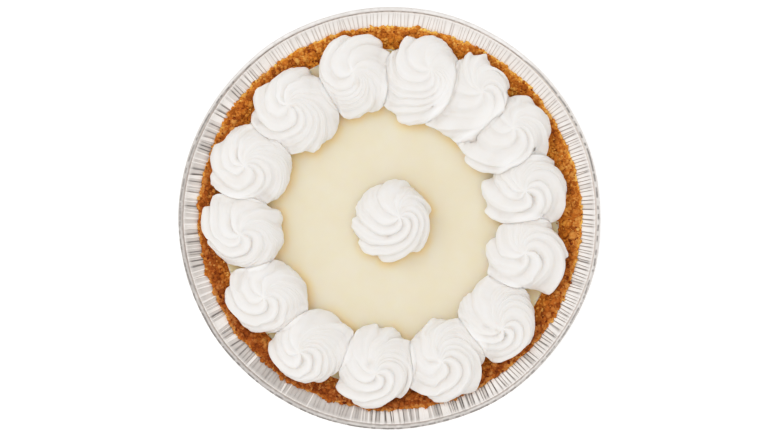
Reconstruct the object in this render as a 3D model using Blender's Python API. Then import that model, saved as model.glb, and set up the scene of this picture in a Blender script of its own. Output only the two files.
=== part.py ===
"""Key lime pie in its foil tin.

A crinkled foil tin with a rolled rim holds a pressed crumb crust, and the crust holds the set filling.
Fourteen rosettes of whipped cream are piped in a ring over the edge of the filling, each one lying a
little over the one before it, and a fifteenth stands in the middle.

Lengths are in metres and angles in degrees. Z is up, and the origin is under the middle of the tin, on
the surface that it stands on.
"""

import math
from collections import namedtuple

import bpy
import numpy as np

SEED = 7
GAP = 0.0003  # air left between two pieces that touch

# The tin: a flat base, a straight sloping wall in pleats, and a bead rolled round its edge.
TIN_RADIUS = 0.1145
TIN_HEIGHT = 0.032
BASE_RADIUS = 0.084
CORNER_RUN = 0.003
CORNER_RISE = 0.001
BEAD_RADIUS = 0.00135
BEAD_TURNS = (-125, -60, 0, 60, 120, 180)  # angles round the bead, from under its outer side to its inner one
BEAD_FLAT = 0.0012  # between the wall's head and the bead
FOIL = 0.0004
PLEATS = 90
PLEAT_DEPTH = 0.0009

# The crust: pressed into the tin, with a rough crest that slopes down to the filling.
CRUST_FLOOR = 0.005
CRUST_EDGE_HEIGHT = 0.0226
CRUST_CREST_HEIGHT = 0.0237
CRUST_CREST_RADIUS = 0.1010
CRUST_FOOT_RADIUS = 0.081
CREST_SHARES = (0.2, 0.42, 0.66)  # rings of the crest, as shares of its width from the tin inwards
CREST_SHIFT = 0.06  # how far the crags stray from those rings, as a share of the same
CRAG_DEPTH = 0.0012
CRUST_COLUMNS = 96

# The filling: level, from wall to wall of the crust.
FILLING_RADIUS = 0.0925
FILLING_LEVEL = 0.0205
FILLING_ROUNDING = 0.0008
FILLING_COLUMNS = 64

# The cream: a rosette's arms are the ridges that the teeth of a star nozzle leave.
ARMS = 10
ARM_STEPS = (0.0, 0.3, 0.66)  # columns of each arm, from its valley over its outer corner to its crest
ARM_TWIST = 88.0
ARM_RELIEF = 0.0026
ARM_REACH = 0.15
ARM_SPREAD = 0.24  # how much wider than the mean the arms are on a rosette's broad side
ARM_FLATTENING = 0.5  # how much lower than the mean they are there
NOZZLE_CIRCLE = 0.0022
NOZZLE_TURN = 250.0
NOZZLE_END = 105.0  # angle from the broad side to the nozzle's last place
SKIRT_SHARE = 0.24  # height of the widest ring, as a share of the rosette's
ROSETTE_AGES = (1.0, 0.93, 0.78, 0.56, 0.32, 0.13)  # rings of the top, from the widest to the one at the tip
UNDERSIDE_SHARES = (0.62, 0.93)  # rings of the underside, as shares of the widest one
CRUST_CLEARANCE = 0.0010  # under the cream that overhangs the crust, where straight facets cut corners
CLEARANCE_RUN = 0.003
LIFT_FADE = 0.022  # height above the filling at which the crust's rise no longer lifts the cream

# Where two rosettes meet, the later one leans over the earlier one.
CONTACT_LEAN = 38.0
CONTACT_SHARE = 0.84
CONTACT_HEIGHT = 0.006
CONTACT_SOFTNESS = 0.0018

Rosette = namedtuple("Rosette", "bearing distance radius height tip_x tip_y broad")

# In the order in which they were piped: bearing and distance from the tin's axis, size, the tip's place
# beside the middle of the rosette, and the angle of the side on which its arms are broad.
RING = (
    Rosette(184.2, 0.0803, 0.0216, 0.0195, -0.0008, -0.0030, 30),
    Rosette(212.2, 0.0793, 0.0222, 0.0195, -0.0010, -0.0004, 40),
    Rosette(237.4, 0.0820, 0.0221, 0.0195, -0.0048, -0.0034, 60),
    Rosette(263.4, 0.0806, 0.0222, 0.0200, 0.0018, -0.0038, 80),
    Rosette(291.0, 0.0826, 0.0223, 0.0195, -0.0018, 0.0, 100),
    Rosette(316.9, 0.0793, 0.0227, 0.0200, 0.0026, -0.0056, 105),
    Rosette(345.2, 0.0765, 0.0224, 0.0200, -0.0010, 0.0006, 100),
    Rosette(13.0, 0.0755, 0.0227, 0.0205, -0.0006, -0.0026, 90),
    Rosette(35.1, 0.0781, 0.0226, 0.0200, 0.0028, 0.0036, 40),
    Rosette(57.2, 0.0799, 0.0224, 0.0205, 0.0062, 0.0008, 85),
    Rosette(77.7, 0.0774, 0.0226, 0.0200, 0.0056, 0.0042, 10),
    Rosette(104.4, 0.0795, 0.0222, 0.0190, -0.0002, 0.0020, -25),
    Rosette(130.8, 0.0779, 0.0232, 0.0205, -0.0042, 0.0020, 25),
    Rosette(158.3, 0.0808, 0.0220, 0.0200, -0.0032, -0.0014, 50),
)
CENTRE = Rosette(270.0, 0.0013, 0.0220, 0.0205, 0.0052, 0.0018, 60)

FOIL_COLOUR = (0.78, 0.77, 0.75)
CRUST_COLOUR = (0.42, 0.16, 0.040)
FILLING_COLOUR = (0.86, 0.78, 0.57)
CREAM_COLOUR = (0.92, 0.90, 0.87)


def clear_scene():
    """An empty scene to build in."""
    for thing in list(bpy.data.objects):
        bpy.data.objects.remove(thing, do_unlink=True)


def material(name, colour, roughness, metallic=0.0):
    """A plain surface of one colour."""
    made = bpy.data.materials.new(name)
    made.use_nodes = True
    shader = made.node_tree.nodes["Principled BSDF"]
    shader.inputs["Base Color"].default_value = (*colour, 1.0)
    shader.inputs["Roughness"].default_value = roughness
    shader.inputs["Metallic"].default_value = metallic
    return made


def solid_through(name, rings, first_pole, last_pole, surface):
    """A closed solid through rings of points, from the pole below the first to the pole after the last.

    Seen from above, each ring runs anticlockwise, so faces point away from the rings' left-hand side.
    """
    count, columns, _ = rings.shape
    points = [first_pole, *map(tuple, rings.reshape(-1, 3)), last_pole]
    here = np.arange(columns)
    after = np.roll(here, -1)
    last = 1 + (count - 1) * columns
    faces = [(0, 1 + b, 1 + a) for a, b in zip(here, after)]
    for ring in range(count - 1):
        low, high = 1 + ring * columns, 1 + (ring + 1) * columns
        faces += [(low + a, low + b, high + b, high + a) for a, b in zip(here, after)]
    faces += [(len(points) - 1, last + a, last + b) for a, b in zip(here, after)]
    mesh = bpy.data.meshes.new(name)
    mesh.from_pydata(points, [], [tuple(map(int, face)) for face in faces])
    mesh.materials.append(surface)
    mesh.shade_smooth()
    mesh.set_sharp_from_angle(angle=math.radians(35))
    thing = bpy.data.objects.new(name, mesh)
    bpy.context.scene.collection.objects.link(thing)
    return thing


def around(columns):
    """Bearings of evenly spaced columns, in radians."""
    return np.arange(columns) * (2 * math.pi / columns)


def ring_points(radii, heights, bearings):
    """Points of one ring from a radius and a height at each bearing."""
    radii = np.broadcast_to(radii, bearings.shape)
    heights = np.broadcast_to(heights, bearings.shape)
    return np.stack([radii * np.cos(bearings), radii * np.sin(bearings), heights], axis=1)


# The wall's inner face runs straight from its foot to the bead.
WALL_FOOT = (BASE_RADIUS + CORNER_RUN, CORNER_RISE + FOIL)
WALL_HEAD = (TIN_RADIUS - 2 * BEAD_RADIUS - BEAD_FLAT, TIN_HEIGHT - 2 * BEAD_RADIUS)
WALL_SLOPE = math.atan2(WALL_HEAD[1] - WALL_FOOT[1], WALL_HEAD[0] - WALL_FOOT[0])


def wall_radius(height):
    """Radius of the wall's inner face at a height, between its pleats."""
    share = (height - WALL_FOOT[1]) / (WALL_HEAD[1] - WALL_FOOT[1])
    return WALL_FOOT[0] + share * (WALL_HEAD[0] - WALL_FOOT[0])


def foil_tin():
    """Base, pleated wall and rolled bead, in one sheet of foil.

    The section runs out under the base, up the outside, over the bead and down the inside.
    """
    bearings = around(2 * PLEATS)
    draws = np.random.default_rng(SEED).uniform(0.6, 1.0, bearings.size)
    folds = draws * np.where(np.arange(bearings.size) % 2, 0.5, -0.5) * PLEAT_DEPTH
    outward, upward = math.sin(WALL_SLOPE), -math.cos(WALL_SLOPE)
    bead_middle = (TIN_RADIUS - BEAD_RADIUS, TIN_HEIGHT - BEAD_RADIUS)
    bead = [
        (bead_middle[0] + BEAD_RADIUS * math.cos(turn), bead_middle[1] + BEAD_RADIUS * math.sin(turn), 0.0)
        for turn in np.radians(BEAD_TURNS)
    ]
    outside = [
        (BASE_RADIUS, 0.0, 0.0),
        (WALL_FOOT[0] + FOIL * outward, WALL_FOOT[1] + FOIL * upward, 0.5),
        (WALL_HEAD[0] + FOIL * outward, WALL_HEAD[1] + FOIL * upward, 1.0),
    ]
    inside = [
        (*WALL_HEAD, 1.0),
        (*WALL_FOOT, 0.5),
        (BASE_RADIUS, FOIL, 0.0),
    ]
    rings = np.array([
        ring_points(radius + folded * folds * outward, height + folded * folds * upward, bearings)
        for radius, height, folded in [*outside, *bead, *inside]
    ])
    surface = material("foil", FOIL_COLOUR, 0.28, 1.0)
    return solid_through("foil_tin", rings, (0, 0, 0), (0, 0, FOIL), surface)


def ease(share):
    """A smooth step from 0 to 1."""
    share = np.clip(share, 0.0, 1.0)
    return share * share * (3 - 2 * share)


def top_height(radius):
    """Height of what the cream lies on, at a distance from the axis: the filling, then the crust's crest."""
    edge = wall_radius(CRUST_EDGE_HEIGHT)
    rise = ease((radius - FILLING_RADIUS) / (CRUST_CREST_RADIUS - FILLING_RADIUS))
    fall = ease((radius - CRUST_CREST_RADIUS) / (edge - CRUST_CREST_RADIUS))
    crest = FILLING_LEVEL + (CRUST_CREST_HEIGHT - FILLING_LEVEL) * rise
    return crest - (CRUST_CREST_HEIGHT - CRUST_EDGE_HEIGHT) * fall


def crumb_crust():
    """A cup of pressed crumbs: under the filling it is smooth, and its crest is broken into crags.

    Crags only take crumbs away, so the cream that lies on the crest stays clear of them.
    """
    bearings = around(CRUST_COLUMNS)
    rng = np.random.default_rng(SEED + 1)
    under = FOIL + GAP
    inset = (PLEAT_DEPTH / 2 + GAP) / math.sin(WALL_SLOPE)
    foot_height = WALL_FOOT[1] + GAP
    rings = [
        ring_points(BASE_RADIUS - inset, under, bearings),
        ring_points(wall_radius(foot_height) - inset, foot_height, bearings),
    ]
    edge_heights = CRUST_EDGE_HEIGHT - rng.uniform(0, 1, bearings.size) * CRAG_DEPTH
    rings.append(ring_points(wall_radius(edge_heights) - inset, edge_heights, bearings))
    edge = wall_radius(CRUST_EDGE_HEIGHT) - inset
    for share in CREST_SHARES:
        shift = rng.uniform(-CREST_SHIFT, CREST_SHIFT, bearings.size)
        radii = edge + (FILLING_RADIUS - edge) * (share + shift)
        crags = rng.uniform(0, 1, bearings.size) ** 1.5 * CRAG_DEPTH
        rings.append(ring_points(radii, top_height(radii) - crags, bearings))
    rings.append(ring_points(FILLING_RADIUS, FILLING_LEVEL, bearings))
    rings.append(ring_points(CRUST_FOOT_RADIUS, CRUST_FLOOR, bearings))
    surface = material("crust", CRUST_COLOUR, 0.85)
    return solid_through("crumb_crust", np.array(rings), (0, 0, under), (0, 0, CRUST_FLOOR), surface)


def crust_wall_radius(height):
    """Radius of the crust's inner wall at a height between its floor and the level of the filling."""
    share = (height - CRUST_FLOOR) / (FILLING_LEVEL - CRUST_FLOOR)
    return CRUST_FOOT_RADIUS + share * (FILLING_RADIUS - CRUST_FOOT_RADIUS)


def lime_filling():
    """The set filling, from the crust's floor up to its level, with a rounded edge."""
    bearings = around(FILLING_COLUMNS)
    foot, shoulder = CRUST_FLOOR + GAP, FILLING_LEVEL - FILLING_ROUNDING
    sections = (
        (crust_wall_radius(foot) - 2 * GAP, foot),
        (crust_wall_radius(shoulder) - 2 * GAP, shoulder),
        (crust_wall_radius(shoulder) - 2 * GAP - FILLING_ROUNDING, FILLING_LEVEL),
    )
    rings = np.array([ring_points(radius, height, bearings) for radius, height in sections])
    surface = material("filling", FILLING_COLOUR, 0.35)
    return solid_through("lime_filling", rings, (0, 0, foot), (0, 0, FILLING_LEVEL), surface)


def heading(angle):
    """Unit vector in plan at an angle in radians."""
    return np.stack([np.cos(angle), np.sin(angle)], axis=-1)


def middle_of(rosette):
    """Place in plan of a rosette's widest ring."""
    return rosette.distance * heading(math.radians(rosette.bearing))


def ridge(share):
    """Height of one arm across its width, from 0 in its valleys to 1 on its crest.

    The crest lies past the middle, so each arm falls steeply to the valley outside it.
    """
    return np.sin(math.pi * share**1.5) ** 0.75


def corner(share):
    """Reach of one arm at the rosette's edge: out to its corner at once, and slowly back to the next arm."""
    return np.sin(math.pi * share**0.55) ** 0.75


def nozzle_place(rosette, age):
    """Place in plan of the nozzle when it laid the ring of this age: 0 at the tip, 1 at the widest ring."""
    tip = middle_of(rosette) + np.array([rosette.tip_x, rosette.tip_y])
    end, turn = math.radians(rosette.broad + NOZZLE_END), math.radians(NOZZLE_TURN)
    circle = NOZZLE_CIRCLE * (heading(end - turn * age) - heading(end))
    closing = NOZZLE_CIRCLE * (heading(end - turn) - heading(end))
    return tip + circle + (middle_of(rosette) - tip - closing) * age**2


def dome(age):
    """Height of the ring of this age, as a share of the rosette's height."""
    return SKIRT_SHARE + (1 - SKIRT_SHARE) * (1 - age**1.5) ** 0.62


def contact_plane(earlier, later):
    """A point on the plane where two rosettes meet, and its normal, which points up into the later one."""
    across = middle_of(later) - middle_of(earlier)
    across = across / np.linalg.norm(across)
    seam = middle_of(later) - across * CONTACT_SHARE * later.radius
    lean = math.radians(CONTACT_LEAN)
    point = np.array([*seam, FILLING_LEVEL + CONTACT_HEIGHT])
    return point, np.array([*(across * math.cos(lean)), math.sin(lean)])


def pressed(points, plane, side):
    """Points moved level to one side of a plane, by less and less with distance, as soft cream gives way."""
    place, normal = plane
    depth = side * ((points - place) @ normal)
    soft = CONTACT_SOFTNESS * np.exp(np.minimum(depth / CONTACT_SOFTNESS - 1, 0))
    kept = np.where(depth < CONTACT_SOFTNESS, soft, depth) + GAP / 2
    level = np.array([normal[0], normal[1], 0.0])
    return points + (side * (kept - depth))[..., None] * level / (level @ level)


def lifted(points):
    """Points raised so that their lowest layer lies on the filling and the crust, and the tips stay."""
    out = np.hypot(points[..., 0], points[..., 1])
    fade = np.clip(1 - (points[..., 2] - FILLING_LEVEL - GAP) / LIFT_FADE, 0, 1)
    clearance = (CRUST_CLEARANCE - GAP) * ease((out - FILLING_RADIUS + CLEARANCE_RUN) / CLEARANCE_RUN)
    raised = points.copy()
    raised[..., 2] += (top_height(out) - FILLING_LEVEL + clearance) * fade
    return raised


def cream_rosette(name, rosette, planes, surface, rng):
    """A piped rosette. Its rings are circles laid by a nozzle that moves round as it rises.

    An arm keeps its column from ring to ring, and the columns turn clockwise outwards.
    """
    share = np.tile(ARM_STEPS, ARMS)
    arm = np.repeat(np.arange(ARMS), len(ARM_STEPS))
    even = (arm + share + rng.uniform(0, 1)) * (2 * math.pi / ARMS)
    broad = math.radians(rosette.broad)
    column = even + ARM_SPREAD * np.sin(even - broad)
    relief = ridge(share) * rng.uniform(0.8, 1.1, ARMS)[arm] - 0.5
    relief *= 1 - ARM_FLATTENING * np.cos(column - broad)
    reach = corner(share) * rng.uniform(0.5, 1.25, ARMS)[arm] - 0.5
    base = FILLING_LEVEL + GAP
    skirt = SKIRT_SHARE * rosette.height

    def ring(age, widened, height):
        turned = column + math.radians(ARM_TWIST) * (1 - age**1.3)
        out = rosette.radius * widened * (1 + ARM_REACH * reach * age**2)
        plan = nozzle_place(rosette, age) + out[:, None] * heading(turned)
        return np.column_stack([plan, base + height])

    rings = [ring(1.0, shrunk, np.zeros(column.size)) for shrunk in UNDERSIDE_SHARES]
    for age in ROSETTE_AGES:
        rise = dome(age) * rosette.height + ARM_RELIEF * relief * math.sin(math.pi * age) ** 0.6
        rings.append(ring(age, age, np.full(column.size, skirt) if age == 1 else rise))
    tip = np.array([[*nozzle_place(rosette, 0.0), base + rosette.height]])
    foot = np.array([[*middle_of(rosette), base]])
    points = np.concatenate([foot, *rings, tip])
    for plane, side in planes:
        points = pressed(points, plane, side)
    points = lifted(points)
    rings = points[1:-1].reshape(len(rings), column.size, 3)
    return solid_through(name, rings, tuple(points[0]), tuple(points[-1]), surface)


def cream():
    """The ring of rosettes, each pressed against its neighbours, and the one in the middle."""
    surface = material("cream", CREAM_COLOUR, 0.55)
    rng = np.random.default_rng(SEED + 2)
    last = len(RING) - 1
    for place, rosette in enumerate(RING):
        before, after = RING[place - 1], RING[(place + 1) % len(RING)]
        planes = [
            (contact_plane(rosette, before), -1) if place == 0 else (contact_plane(before, rosette), 1),
            (contact_plane(after, rosette), 1) if place == last else (contact_plane(rosette, after), -1),
        ]
        cream_rosette(f"cream_rosette_{place + 1:02d}", rosette, planes, surface, rng)
    cream_rosette("cream_rosette_centre", CENTRE, [], surface, rng)


def main():
    clear_scene()
    foil_tin()
    crumb_crust()
    lime_filling()
    cream()


if __name__ == "__main__":
    main()
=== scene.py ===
"""The looks of a key lime pie in its foil tin.

A crimped foil tin with a rolled rim holds a pressed crumb crust, and the crust holds the set filling.
Fourteen rosettes of whipped cream are piped in a ring over the edge of the filling, and a fifteenth stands
in the middle. Each of their surfaces is worked out on a grid of two parameters, one round the piece and one
along its section, and takes the place of a plain solid. Loose crumbs are scattered over the crust.

Lengths are in metres. Z is up, and the origin is under the middle of the tin, on the surface it stands on.
"""

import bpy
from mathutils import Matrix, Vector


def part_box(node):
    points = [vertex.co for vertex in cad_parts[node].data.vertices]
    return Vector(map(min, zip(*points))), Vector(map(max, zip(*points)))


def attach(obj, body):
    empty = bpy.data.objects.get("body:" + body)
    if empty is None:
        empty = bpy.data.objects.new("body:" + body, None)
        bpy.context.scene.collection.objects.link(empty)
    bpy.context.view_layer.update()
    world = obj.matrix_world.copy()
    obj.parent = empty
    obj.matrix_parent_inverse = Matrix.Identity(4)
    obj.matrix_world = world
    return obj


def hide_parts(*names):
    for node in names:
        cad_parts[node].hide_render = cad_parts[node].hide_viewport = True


bl_info = {
    "name": "Key Lime Pie",
    "version": (1, 0, 0),
    "blender": (4, 5, 0),
    "location": "3D View > Sidebar > Pie",
    "description": "A key lime pie with a crumb crust and piped cream, in a crimped foil tin",
    "category": "Add Mesh",
}

import itertools
import math
from collections import namedtuple

import bpy
import numpy as np

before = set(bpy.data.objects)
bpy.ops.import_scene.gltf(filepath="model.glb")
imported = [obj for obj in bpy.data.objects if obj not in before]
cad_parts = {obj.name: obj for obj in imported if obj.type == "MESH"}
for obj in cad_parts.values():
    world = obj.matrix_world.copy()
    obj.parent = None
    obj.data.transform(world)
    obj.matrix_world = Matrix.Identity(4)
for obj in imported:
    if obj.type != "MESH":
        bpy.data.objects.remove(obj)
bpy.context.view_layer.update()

MM = 0.001
SEED = 7

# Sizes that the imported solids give.
TIN_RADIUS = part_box("foil_tin")[1].x
TIN_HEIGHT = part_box("foil_tin")[1].z
FILLING_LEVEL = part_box("lime_filling")[1].z

# The tin's section.
BASE_RADIUS = 0.084
CORNER_RUN = 0.003
CORNER_RISE = 0.001
BEAD_RADIUS = 0.00135
FOIL = 0.0004  # thickness of the sheet
# The wall's inner face, from its foot to its head: a radius and a height at each bend.
WALL = (
    (BASE_RADIUS + CORNER_RUN, CORNER_RISE + FOIL),
    (0.1040, 0.0235),
    (TIN_RADIUS - 2 * BEAD_RADIUS - 0.0008, TIN_HEIGHT - 2 * BEAD_RADIUS + 0.0002),
)
WALL_BEND = 0.74  # where the wall's middle bend is, as a share of its length

# The crust's section, and the filling's.
CRUST_FLOOR = 0.005  # top of the crust under the filling
BROKEN_EDGE_HEIGHT = 0.0247  # the crust's broken edge is as far out as the tin's wall is at this height
CRUST_EDGE_HEIGHT = 0.0226  # where the smooth crest, on which cream lies, comes down to
CRUST_EDGE_RADIUS = 0.10493
CRUST_CREST_HEIGHT = 0.0237
CRUST_CREST_RADIUS = 0.1010
CRUST_FOOT_RADIUS = 0.081
FILLING_RADIUS = 0.0925
TOUCH = 0.0003  # air left between two pieces that touch

# How a rosette is piped.
NOZZLE_CIRCLE = 0.0011  # radius of the circle in which the nozzle moves
NOZZLE_TURN = 250.0  # how much of the circle it goes round, in degrees
NOZZLE_END = 105.0  # where that ends, in degrees from the broad side
SKIRT_SHARE = 0.24  # height of the widest ring, as a share of the rosette's
LIFT_FADE = 0.022  # height over the filling at which the crust's rise no longer lifts the cream
AGE_STEPS = 5  # repeated steps that find the age of the ring at a place
SEAM_REACH = 1.25  # age beyond which a neighbour is no longer met
SEAM_RISE = 0.0046  # how far cream fills the groove along a seam
SEAM_FADE = 0.009  # difference in height over which that fades
SEAM_CALM = 0.85  # how much of the relief is lost at a seam

# A rosette: its bearing and distance from the tin's axis, its radius and height, its tip's place beside its
# middle, the bearing of the side on which its arms are broad, its valleys and its outline. A valley has the
# bearing at which it reaches the outline and a depth from 0 to 9. The outline goes round anticlockwise by its
# corners and notches, in millimetres beside the middle.
DEEPEST = 9
Rosette = namedtuple("Rosette", "bearing distance radius height tip_x tip_y broad valleys outline")

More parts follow.
